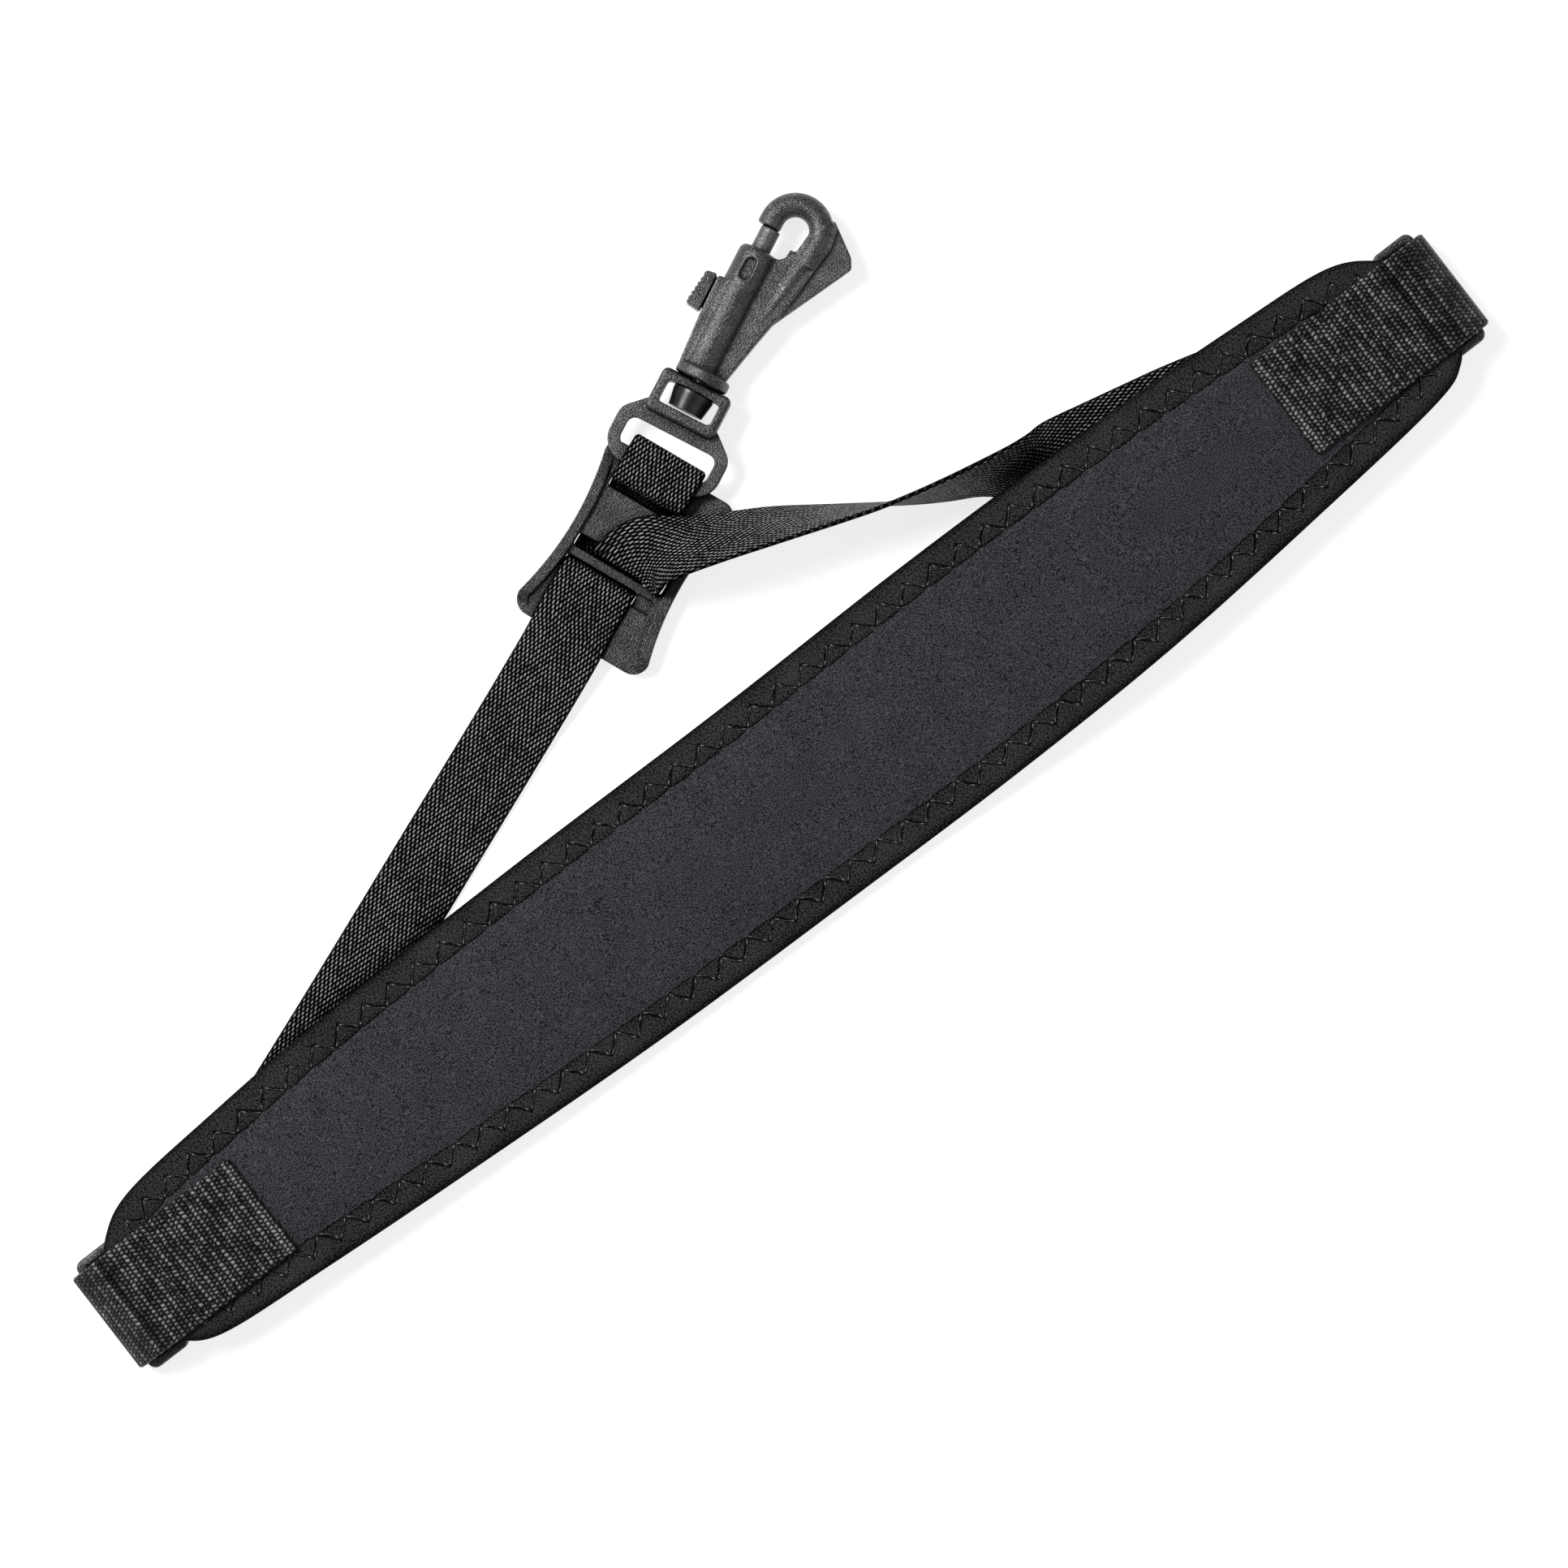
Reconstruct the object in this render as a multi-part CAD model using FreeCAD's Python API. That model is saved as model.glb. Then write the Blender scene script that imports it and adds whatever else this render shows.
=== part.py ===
"""Saxophone neck strap, lying on a table with its hook strap folded out beside the neck pad.

Frame: X runs along the pad, Y points from the pad towards the hook, Z is up. The origin is the middle of
the pad's underside. Lengths are millimetres and angles are degrees.
"""
import FreeCAD, Part
import math
import os

Vec = FreeCAD.Vector
UP = Vec(0, 0, 1)

# Neck pad: a layered panel with a tape folded round its edge
PAD_THICKNESS = 6.0
COVER_MIDDLE = 1.4      # cover cloth with its soft backing, inside the tape
TAPE_THICKNESS = 0.5
TAPE_WIDTH = 8.5
TAPE_SINK = 0.4         # how far the tape pulls each face in
CORE_INSET = 1.1
LAYER_GAP = 0.05
PAD_OUTLINE = [
    (203.5, 0), (202.0, 9.5), (196.5, 15.8), (185, 21.9), (160, 24.3), (120, 26.4), (60, 27.7), (0, 27.3),
    (-60, 27.7), (-120, 26.9), (-160, 24.5), (-186, 21.9), (-197, 16.8), (-202.2, 9.5), (-203.5, 0),
    (-202.2, -9.0), (-198, -15.3), (-188, -20.2), (-160, -22.7), (-120, -25.4), (-60, -28.6), (0, -29.8),
    (50, -30.2), (100, -28.8), (150, -24.8), (186, -21.0), (197, -17.0), (202.0, -9.0),
]
# The line that the pad's underside follows: flat in the middle, lifted by the straps under its ends
PAD_LINE = [(-210, 7.7), (-45, 0), (25, 0), (90, 7.5), (210, 7.2)]
PAD_LINE_RADII = [0, 500, 300, 300, 0]

# Thread
STITCH_PITCH = 4.0
STITCH_INSET = (3.8, 8.0)
THREAD = 0.45
THREAD_HEIGHT = 0.3

# Webbing of the hook strap
WEBBING_WIDTH = 19.6
WEBBING = 1.2
RUN_SHARE = 0.45        # how much of a route's run the arc at its end may take
FLOOR_LAYER = 0.7       # height of the middle of a webbing that lies on the table
UPPER_LAYER = 2.1       # and of one that lies on another
PLATE_LAYER = 5.2       # and of one on the slider
LOOP_LAYER = 9.0        # and of the loop's top layer, over the ring

# Elastic tabs that hold the end rings
TAB_WIDTH = 27.8
TAB_THICKNESS = 1.2
TAB_BEND = 2.0
TAB_EDGE = 204.6        # where the tab leaves the pad's end
SEWN_BOX = 26.0         # length of the box sewn on a tab
SEWN_BOX_GAP = 3.5      # from the tab's hem
SEWN_BOX_MARGIN = 2.5   # from its sides
TACK_STEPS = (0.0, 4.0, 8.0)
TACK_HALF = 8.0
TACK_START = 17.0       # from the end ring's inner bar

# End rings: flat moulded rectangles
RING_LENGTH = 32.8
RING_DEPTH = 11.9
RING_RAIL = 2.4
RING_BAR = 2.2
RING_HEIGHT = 2.7       # height of the ring's middle
RING_SPAN = RING_DEPTH - RING_BAR
# x of the bar in the tab's fold, y of the tab, x of the tab's sewn end and y of the strap, for each end
ENDS = {
    "left": {"side": -1, "bar": 208.4, "tab_y": -0.7, "hem": 161.5, "strap_y": 2.5},
    "right": {"side": 1, "bar": 207.0, "tab_y": 0.8, "hem": 155.3, "strap_y": 4.8},
}

# Slider plate, in its own frame: u along the strap towards the hook, w to its left
SLIDER_PLACE = (0.25, 69.0)
SLIDER_AZIMUTH = 22.0
SLIDER_BOTTOM = 2.9
SLIDER_THICKNESS = 1.6
SLIDER_RIM = 1.15
# Slots, each as u from and to and w from and to. The lower one's end is a pocket with a thin floor.
LOWER_SLOT = (-4.0, -0.3, -7.1, 12.9)
LOWER_POCKET = (-4.0, -0.3, -12.2, -7.0)
UPPER_SLOT = (2.0, 5.6, -12.2, 12.9)
TOP_SLOT = (19.0, 24.3, -7.1, 12.9)
POCKET_FLOOR = 0.5
LOOP_W = 2.9            # w of the strap that runs to the hook and of its loop
RIGHT_W = -2.0          # w of the strap that leaves the upper slot

# Hook and its swivel, in their own frame: a along the swivel axis, b to its left
HOOK_PLACE = (41.4, 91.75)
HOOK_AZIMUTH = 25.0
HOOK_HEIGHT = 7.1
SWIVEL_B = -0.2
STUD_RADIUS = 1.9
STUD_FIT = 0.07
BOLT_B = 1.6
BOLT_RADIUS = 2.5
BOLT_FIT = 0.08
BARREL_RADIUS = 4.9
BARREL = (8.3, 41.2)
BARREL_SHOULDER = 1.7
RAIL_HALF = 3.6
FLANGE = (5.5, 8.3)
FLANGE_RADIUS = 7.0
SPINE_HALF = 2.1
BEND_CENTRE = (49.5, -3.9)
BEND_RADIUS = 6.35
ROD_RADIUS = 3.05
BOLT_END = 47.1
BOLT_TAIL = 21.5
BORE_START = 10.0
SPRING_WIRE = 0.25      # radius
SPRING_RADIUS = 1.9
SPRING_PITCH = 1.6
SPRING_PLAY = 0.15      # at each end
SERRATION = 0.42        # radius of the thumb piece's grooves
SERRATION_PITCH = 1.35

# Route of the left strap after its sewn end, up to the slider
LEFT_ROUTE = [
    (-183, 2.5, FLOOR_LAYER), (-166, 7.0, FLOOR_LAYER), (-44, 54.0, FLOOR_LAYER + 0.1), (-30, 59.4, 3.6),
    (-18.9, 63.75, PLATE_LAYER),
]
# Route of the right strap, from the slider's upper slot to its sewn end: x, y, z and the webbing's tilt.
# It makes half a turn on its way, with the edge next to the pad low after it.
RIGHT_ROUTE = [
    (9.0, 68.4, 6.8, -10), (14, 66.3, 10.8, -30), (20, 63.4, 14.0, -44), (30, 59.0, 14.6, -53),
    (40, 54.6, 12.6, -60), (52, 48.3, 10.9, -73), (62, 43.1, 10.4, -83), (72, 38.4, 10.3, -95),
    (80, 35.2, 10.2, -104), (88, 32.6, 9.4, -112), (95, 29.4, 7.6, -130), (102, 26.6, 4.6, -155),
    (111, 24.0, 2.4, -171), (122, 21.6, FLOOR_LAYER, -180), (144, 16.7, FLOOR_LAYER, -180),
    (181, 5.4, FLOOR_LAYER, -180),
]


def azimuth_vector(angle):
    return Vec(math.cos(math.radians(angle)), math.sin(math.radians(angle)), 0)


def placed(shape, place, azimuth, height=0.0):
    """The shape, moved from a part's own frame to the strap's frame."""
    moved = shape.copy()
    moved.rotate(Vec(), UP, azimuth)
    moved.translate(Vec(place[0], place[1], height))
    return moved


def on_slider(shape):
    return placed(shape, SLIDER_PLACE, SLIDER_AZIMUTH)


def on_hook(shape):
    return placed(shape, HOOK_PLACE, HOOK_AZIMUTH, HOOK_HEIGHT)


def flat(points):
    """2-D points as vectors."""
    return [Vec(p[0], p[1], 0) for p in points]


def corner(before, here, after, radius):
    """Where an arc at a corner starts, its middle and where it ends."""
    back = (before - here).normalize()
    on = (after - here).normalize()
    half_turn = (math.pi - back.getAngle(on)) / 2
    reach = radius * math.tan(half_turn)
    bisector = (back + on).normalize()
    middle = here + bisector * (radius / math.cos(half_turn) - radius)
    return here + back * reach, middle, here + on * reach


def rounded_face(points, radii):
    """A flat face with arcs at its corners. A radius of 0 keeps a corner sharp."""
    vectors = flat(points)
    count = len(vectors)
    edges = []
    first = last = None
    for i, here in enumerate(vectors):
        before = vectors[i - 1]
        after = vectors[(i + 1) % count]
        start = end = here
        if radii[i] > 0:
            start, middle, end = corner(before, here, after, radii[i])
        if last is not None:
            edges.append(Part.LineSegment(last, start).toShape())
        if radii[i] > 0:
            edges.append(Part.Arc(start, middle, end).toShape())
        first = first or start
        last = end
    edges.append(Part.LineSegment(last, first).toShape())
    return Part.Face(Part.Wire(edges))


def plate(points, radii, low, high):
    """A rounded outline, extruded from one height to another."""
    face = rounded_face(points, radii)
    face.translate(UP * low)
    return face.extrude(UP * (high - low))


def side_profile(points, radii, low, high):
    """An outline drawn in the X-Z plane and extruded along Y."""
    solid = plate(points, radii, 0, high - low)
    solid.rotate(Vec(), Vec(1, 0, 0), 90)
    solid.translate(Vec(0, high, 0))
    return solid


def offset_line(points, distance):
    """An open line of 2-D points, moved to its left, with mitred corners."""
    vectors = flat(points)
    moved = []
    for i, here in enumerate(vectors):
        normals = []
        for a, b in ((i - 1, i), (i, i + 1)):
            if a >= 0 and b < len(vectors):
                run = (vectors[b] - vectors[a]).normalize()
                normals.append(Vec(-run.y, run.x, 0))
        mitre = (normals[0] + normals[-1]).normalize()
        moved.append(here + mitre * (distance / mitre.dot(normals[0])))
    return [(v.x, v.y) for v in moved]


def turn_sign(a, b, c):
    return 1 if (b[0] - a[0]) * (c[1] - b[1]) - (b[1] - a[1]) * (c[0] - b[0]) > 0 else -1


def band(points, radii, low, high, side_low, side_high):
    """A bent sheet between two offsets of a line in the X-Z plane, extruded along Y."""
    count = len(points)
    sides = []
    for distance in (low, high):
        turned = [0] * count
        for i in range(1, count - 1):
            turned[i] = radii[i] - turn_sign(*points[i - 1:i + 2]) * distance
        sides.append((offset_line(points, distance), turned))
    (lower, lower_radii), (upper, upper_radii) = sides
    outline = lower + upper[::-1]
    return side_profile(outline, lower_radii + upper_radii[::-1], side_low, side_high)


# ---- webbing ----

def bend_radii(name, points):
    """The radius of the arc at each corner of a strap's route, as large as its runs allow."""
    vectors = [Vec(*p[:3]) for p in points]
    radii = [0]
    for before, here, after in zip(vectors, vectors[1:], vectors[2:]):
        turn = (here - before).getAngle(after - here)
        shorter = min((before - here).Length, (after - here).Length)
        radii.append(RUN_SHARE * shorter / math.tan(turn / 2))
    print(name, "bend radii in mm:", [round(radius, 1) for radius in radii[1:]])
    return radii + [0]


def path_stations(points, radii, step=12.0):
    """Points and directions along straight runs that are joined by arcs, for 2-D or 3-D points."""
    vectors = [Vec(*p) if len(p) == 3 else Vec(p[0], 0, p[1]) for p in points]
    first_run = (vectors[1] - vectors[0]).normalize()
    stations = [(vectors[0], first_run)]
    for i in range(1, len(vectors) - 1):
        here = vectors[i]
        back = (vectors[i - 1] - here).normalize()
        on = (vectors[i + 1] - here).normalize()
        turn = math.pi - back.getAngle(on)
        radius = radii[i]
        start = here + back * (radius * math.tan(turn / 2))
        centre = here + (back + on).normalize() * (radius / math.cos(turn / 2))
        outward = (start - centre) * (1 / radius)
        count = max(1, math.ceil(math.degrees(turn) / step))
        for k in range(count + 1):
            angle = turn * k / count
            stations.append((
                centre + (outward * math.cos(angle) - back * math.sin(angle)) * radius,
                back * -math.cos(angle) - outward * math.sin(angle),
            ))
    stations.append((vectors[-1], (vectors[-1] - vectors[-2]).normalize()))
    return stations


def flat_sections(stations):
    """Sections of a webbing that lies flat on its route."""
    return [(at, UP.cross(on).normalize(), on) for at, on in stations]


def upright_sections(stations, place, azimuth, sideways):
    """Sections of a webbing that bends up and down over bars that lie across it."""
    along = azimuth_vector(azimuth)
    across = UP.cross(along)
    start = Vec(place[0], place[1], 0) + across * sideways
    return [
        (start + along * at.x + UP * at.z, across, along * on.x + UP * on.z)
        for at, on in stations
    ]


def webbing(sections, width=WEBBING_WIDTH, thickness=WEBBING):
    """A flat band through its sections: each is its middle, the way across it and the way along it."""
    wires = []
    for at, across, on in sections:
        side = across * (width / 2)
        up = on.cross(across).normalize() * (thickness / 2)
        corners = [at + side + up, at - side + up, at - side - up, at + side - up]
        wires.append(Part.makePolygon(corners + corners[:1]))
    solid = Part.makeLoft(wires, True, True)
    if solid.Volume < 0:
        solid.reverse()
    return solid


def sewn_end(end):
    """Sections of a strap's end: a tail on top, then round the end ring's inner bar and along the table."""
    inward = -end["side"]
    bar = (end["bar"] - RING_SPAN) * end["side"]
    top = RING_HEIGHT + TAB_BEND
    corners = [
        (19.0, UPPER_LAYER), (7.5, UPPER_LAYER), (2.6, top), (-TAB_BEND, top), (-TAB_BEND, FLOOR_LAYER),
        (6.0, FLOOR_LAYER),
    ]
    stations = path_stations(corners, [0, 2.5, 2.5, TAB_BEND - 0.01, TAB_BEND - 0.01, 0])
    azimuth = 0 if inward > 0 else 180
    return upright_sections(stations, (bar, end["strap_y"]), azimuth, 0)


def strap_left():
    sections = sewn_end(ENDS["left"])
    sections += flat_sections(path_stations(LEFT_ROUTE, bend_radii("strap_left", LEFT_ROUTE)))
    dive = [(-15, PLATE_LAYER), (-1.2, PLATE_LAYER), (-1.2, FLOOR_LAYER), (8.0, FLOOR_LAYER)]
    dive_stations = path_stations(dive, [0, 1.0, 1.0, 0])
    sections += upright_sections(dive_stations, SLIDER_PLACE, SLIDER_AZIMUTH, LOOP_W)
    return webbing(sections)


def strap_hook_loop():
    corners = [
        (8.1, FLOOR_LAYER), (23.4, FLOOR_LAYER), (23.4, PLATE_LAYER), (32.9, PLATE_LAYER), (32.9, LOOP_LAYER),
        (21.6, LOOP_LAYER), (21.6, UPPER_LAYER), (18.0, UPPER_LAYER),
    ]
    stations = path_stations(corners, [0, 1.0, 1.0, 1.89, 1.89, 1.2, 1.0, 0])
    sections = upright_sections(stations, SLIDER_PLACE, SLIDER_AZIMUTH, LOOP_W)
    for u, w in ((14.5, 1.6), (10.5, -1.2), (7.1, RIGHT_W)):
        sections += upright_sections(
            [(Vec(u, 0, UPPER_LAYER), Vec(-1, 0, 0))], SLIDER_PLACE, SLIDER_AZIMUTH, w
        )
    return webbing(sections)


def strap_right():
    bend_radii("strap_right", RIGHT_ROUTE)
    rise = [(7.0, UPPER_LAYER), (4.9, UPPER_LAYER), (4.9, PLATE_LAYER + 0.3)]
    stations = path_stations(rise, [0, 1.0, 0])
    sections = upright_sections(stations, SLIDER_PLACE, SLIDER_AZIMUTH, RIGHT_W)
    across_slot = sections[0][1]
    points = [sections[-1][0]] + [Vec(*p[:3]) for p in RIGHT_ROUTE]
    for i, (x, y, z, tilt) in enumerate(RIGHT_ROUTE):
        here = Vec(x, y, z)
        after = points[i + 2] if i + 2 < len(points) else here + Vec(1, 0, 0)
        on = (after - points[i]).normalize()
        level = UP.cross(on).normalize()
        if i == 0:
            level = (level * 0.5 + across_slot * 0.5).normalize()
        raised = on.cross(level)
        angle = math.radians(tilt)
        across = level * math.cos(angle) + raised * math.sin(angle)
        sections.append((here, across, on))
    # the half turn leaves the webbing's first face down, so the sewn end is taken the same way round
    for at, across, on in reversed(sewn_end(ENDS["right"])):
        sections.append((at, across, on * -1))
    return webbing(sections)


# ---- pad ----

def pad_outline(inset):
    """The pad's outline, or one inside it, as one closed curve in four edges."""
    points = flat(PAD_OUTLINE)
    moved = []
    for i, here in enumerate(points):
        along = (points[(i + 1) % len(points)] - points[i - 1]).normalize()
        moved.append(here + UP.cross(along) * inset)
    curve = Part.BSplineCurve()
    curve.interpolate(moved, PeriodicFlag=True)
    start, end = curve.FirstParameter, curve.LastParameter
    cuts = [start + (end - start) * k / 4 for k in range(5)]
    return Part.Wire([curve.toShape(low, high) for low, high in zip(cuts, cuts[1:])])


def between_heights(face, low, high):
    """What a flat outline cuts from the pad's thickness, between two distances from its underside."""
    face.translate(UP * -5)
    column = face.extrude(UP * 30)
    return column.common(band(PAD_LINE, PAD_LINE_RADII, low, high, -40, 40))


def pad_layer(inset, low, high):
    """A layer of the pad, between two distances from its underside."""
    return between_heights(Part.Face(pad_outline(inset)), low, high)


def pad_rim(inset, low, high):
    """A band along the pad's edge."""
    rim = Part.Face(pad_outline(0)).cut(Part.Face(pad_outline(inset)))
    return between_heights(rim.Faces[0], low, high)


def pad_height(x):
    """Height of the pad's underside, without the arcs at its bends."""
    for (x0, z0), (x1, z1) in zip(PAD_LINE, PAD_LINE[1:]):
        if x0 <= x <= x1:
            return z0 + (z1 - z0) * (x - x0) / (x1 - x0)
    raise ValueError(x)


def pad_foam_core():
    skin = COVER_MIDDLE + LAYER_GAP
    return pad_layer(CORE_INSET, skin, PAD_THICKNESS - skin)


def pad_cover(outer_face, step):
    """A cover cloth from its outer face inwards, thinner where the tape lies over it."""
    inner_face = outer_face + step * COVER_MIDDLE
    under_tape = outer_face + step * (TAPE_SINK + TAPE_THICKNESS + LAYER_GAP)
    middle = pad_layer(TAPE_WIDTH + LAYER_GAP, *sorted((outer_face, inner_face)))
    rim = pad_layer(CORE_INSET, *sorted((under_tape, inner_face)))
    return middle.fuse(rim).removeSplitter()


def edge_binding():
    low, high = TAPE_SINK, PAD_THICKNESS - TAPE_SINK
    back = pad_rim(TAPE_WIDTH, low, low + TAPE_THICKNESS)
    front = pad_rim(TAPE_WIDTH, high - TAPE_THICKNESS, high)
    return pad_rim(TAPE_THICKNESS, low, high).fuse([back, front]).removeSplitter()


def binding_stitch(low):
    """A zigzag thread that sews the tape down on one face of the pad, from its lower side up."""
    outer = pad_outline(STITCH_INSET[0])
    inner = pad_outline(STITCH_INSET[1])
    count = 2 * round(outer.Length / STITCH_PITCH / 2)
    rows = [wire.discretize(Number=count + 1)[:-1] for wire in (outer, inner)]
    turn = min(range(count), key=lambda k: (rows[1][k] - rows[0][0]).Length)
    line = [rows[i % 2][(i + turn * (i % 2)) % count] for i in range(count)]
    points = [(v.x, v.y) for v in line]
    zigzag = points + points[:1]
    left = offset_line(zigzag, THREAD / 2)
    right = offset_line(zigzag, -THREAD / 2)
    outline = left[:-1] + right[:-1][::-1]
    face = Part.Face(Part.makePolygon(flat(outline + outline[:1])))
    return between_heights(face, low, low + THREAD_HEIGHT)


# ---- tabs and end rings ----

def tab(end):
    """An elastic tab, sewn on the pad's front, round the end ring's bar and back under the pad."""
    side = end["side"]
    top = PAD_THICKNESS + TAB_THICKNESS / 2 + LAYER_GAP
    under = TAB_THICKNESS / 2 + LAYER_GAP
    fold = end["bar"] + TAB_BEND
    low = RING_HEIGHT - TAB_BEND
    corners = [
        (end["hem"], pad_height(side * end["hem"]) + top),
        (TAB_EDGE, pad_height(side * TAB_EDGE) + top),
        (fold, 8.6),
        (fold, low),
        (fold - 3.8, low),
        (end["bar"] - 8.0, pad_height(side * 200) - under),
        (165.0, pad_height(side * 165) - under),
    ]
    half = TAB_THICKNESS / 2
    radii = [0, 3.0, 4.0, TAB_BEND, 1.4, 2.0, 0]
    solid = band(corners, radii, -half, half, end["tab_y"] - TAB_WIDTH / 2, end["tab_y"] + TAB_WIDTH / 2)
    return solid if side > 0 else solid.mirror(Vec(), Vec(1, 0, 0))


def tab_stitch(end):
    """The sewn box and its diagonal on a tab's front."""
    side = end["side"]
    start = end["hem"] + SEWN_BOX_GAP
    finish = start + SEWN_BOX
    middle = end["tab_y"]
    reach = TAB_WIDTH / 2 - SEWN_BOX_MARGIN
    corners = [(start, -reach), (start, reach), (finish, reach), (finish, -reach)]
    threads = []
    for (x0, y0), (x1, y1) in zip(corners, corners[1:] + corners[:1]):
        threads.append(thread_run(side * x0, middle + y0, side * x1, middle + y1))
    threads.append(thread_run(side * corners[0][0], middle - reach, side * corners[2][0], middle + reach))
    sewn = threads[0].fuse(threads[1:])
    low = PAD_THICKNESS + TAB_THICKNESS + 2 * LAYER_GAP
    return sewn.common(band(PAD_LINE, PAD_LINE_RADII, low, low + THREAD_HEIGHT, -40, 40))


def thread_run(x0, y0, x1, y1):
    """A tall thin wall along a line of stitches, to be cut to the thread's height."""
    start = Vec(x0, y0, -5)
    run = Vec(x1 - x0, y1 - y0, 0)
    side = UP.cross(run).normalize() * (THREAD / 2)
    corners = [start + side, start - side, start - side + run, start + side + run]
    return Part.Face(Part.makePolygon(corners + corners[:1])).extrude(UP * 30)


def strap_stitch(end):
    """The bar tack that closes a strap's end on itself."""
    side = end["side"]
    start = end["bar"] - RING_SPAN - TACK_START
    low = UPPER_LAYER + WEBBING / 2 + LAYER_GAP
    tacks = []
    for step in TACK_STEPS:
        x = side * (start + step)
        y = end["strap_y"]
        run = thread_run(x, y - TACK_HALF, x, y + TACK_HALF)
        tacks.append(run.common(Part.makeBox(400, 80, THREAD_HEIGHT, Vec(side * 200 - 200, -40, low))))
    return Part.makeCompound(tacks)


def end_ring(end):
    half_depth = RING_DEPTH / 2
    half_length = RING_LENGTH / 2
    middle = end["side"] * (end["bar"] - RING_SPAN / 2)
    low = RING_HEIGHT - RING_BAR / 2
    high = RING_HEIGHT + RING_BAR / 2
    outer = rectangle(half_depth, half_length, 2.2, low, high)
    window = rectangle(half_depth - RING_BAR, half_length - RING_RAIL, 0.8, low - 1, high + 1)
    ring = outer.cut(window)
    ring = ring.makeFillet(0.7, [e for e in ring.Edges if abs(e.BoundBox.ZLength) < 0.01])
    ring.translate(Vec(middle, end["tab_y"], 0))
    return ring


def rectangle(half_x, half_y, radius, low, high):
    corners = [(-half_x, -half_y), (half_x, -half_y), (half_x, half_y), (-half_x, half_y)]
    return plate(corners, [radius] * 4, low, high)


def box(a, b, z):
    """A box from three ranges."""
    return Part.makeBox(a[1] - a[0], b[1] - b[0], z[1] - z[0], Vec(a[0], b[0], z[0]))


# ---- slider ----

def slider_outline(inset, low, high):
    """The plate's hourglass outline with round corners, or one inside it."""
    lower_end = [(-18.8 + inset, 14.4 - inset), (-17.5 + 0.7 * inset, 17.3 - 0.7 * inset)]
    side = [(-14.5, 18.5 - inset), (9, 15.6 - inset), (26.4, 17.9 - inset)]
    upper_end = [(29.0 - 0.7 * inset, 17.0 - 0.7 * inset), (30.0 - inset, 14.6 - inset)]
    half = lower_end + side + upper_end
    left = flat(half)
    right = flat([(u, -w) for u, w in half[::-1]])
    edges = []
    for line in (left, right):
        edges.append(Part.Arc(*line[0:3]).toShape())
        edges.append(Part.Arc(*line[2:5]).toShape())
        edges.append(Part.Arc(*line[4:7]).toShape())
    edges.append(Part.LineSegment(left[-1], right[0]).toShape())
    edges.append(Part.LineSegment(right[-1], left[0]).toShape())
    face = Part.Face(Part.Wire(Part.__sortEdges__(edges)))
    face.translate(UP * low)
    return face.extrude(UP * (high - low))


def slider_plate():
    top = SLIDER_BOTTOM + SLIDER_THICKNESS
    rim_top = top + SLIDER_RIM
    body = slider_outline(0, SLIDER_BOTTOM, top)
    wall = body.copy()
    wall.translate(UP * SLIDER_THICKNESS)
    wall = wall.cut(slider_outline(2.7, top - 1, rim_top + 2))
    crest = [(-17.4, top - 0.2), (-13.5, rim_top), (19, rim_top), (27, top - 0.2)]
    rim = wall.common(side_profile(crest, [0, 3, 3, 0], -25, 25)).cut(box((-20, 31), (-13.1, 13.1), (0, 9)))
    plate_body = body.fuse(rim)
    for slot in (LOWER_SLOT, UPPER_SLOT, TOP_SLOT):
        plate_body = plate_body.cut(slider_slot(slot, 0))
    plate_body = plate_body.cut(slider_slot(LOWER_POCKET, SLIDER_BOTTOM + POCKET_FLOOR))
    return on_slider(plate_body.removeSplitter())


def slider_slot(ends, low):
    """A rounded slot, from this height up."""
    u_low, u_high, w_low, w_high = ends
    slot = rectangle((u_high - u_low) / 2, (w_high - w_low) / 2, 0.8, low, 10)
    slot.translate(Vec((u_low + u_high) / 2, (w_low + w_high) / 2, 0))
    return slot


# ---- swivel ring ----

def swivel_ring():
    """A loop for the webbing and a window for the stud's head, in one moulding."""
    loop_corners = [(-20.6, -15.8), (-8.6, -15.8), (-3.4, -9.6), (-3.4, 9.2), (-8.6, 14.4), (-20.6, 14.4)]
    loop = plate(loop_corners, [6.2, 4.6, 2.0, 2.0, 4.6, 6.2], -1.2, 1.2)
    slot = plate([(-16.8, -12.7), (-9.3, -12.7), (-9.3, 11.2), (-16.8, 11.2)], [2.2] * 4, -3, 3)
    frame = plate([(-6.2, -9.5), (5.2, -9.5), (5.2, 9.2), (-6.2, 9.2)], [1.6] * 4, -3.4, 3.4)
    window = plate([(-3.3, -7.3), (2.6, -7.3), (2.6, 6.9), (-3.3, 6.9)], [1.0] * 4, -4, 4)
    frame = frame.makeFillet(0.9, [e for e in frame.Edges if e.BoundBox.ZLength < 0.01])
    bore = Part.makeCylinder(STUD_RADIUS + STUD_FIT, 6, Vec(1, SWIVEL_B, 0), Vec(1, 0, 0))
    ring = loop.cut(slot).fuse(frame).cut(window).cut(bore)
    return on_hook(ring.removeSplitter())


def swivel_stud():
    """A headed stud: its head turns in the ring's window and its tail is moulded into the hook."""
    along = Vec(1, 0, 0)
    head = Part.makeCone(4.6, 5.3, 4.2, Vec(-2.6, SWIVEL_B, 0), along)
    lip = Part.makeCylinder(5.3, 0.7, Vec(1.6, SWIVEL_B, 0), along)
    neck = Part.makeCylinder(STUD_RADIUS, 5.0, Vec(2.0, SWIVEL_B, 0), along)
    return on_hook(head.fuse([lip, neck]).removeSplitter())


# ---- hook ----

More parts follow.
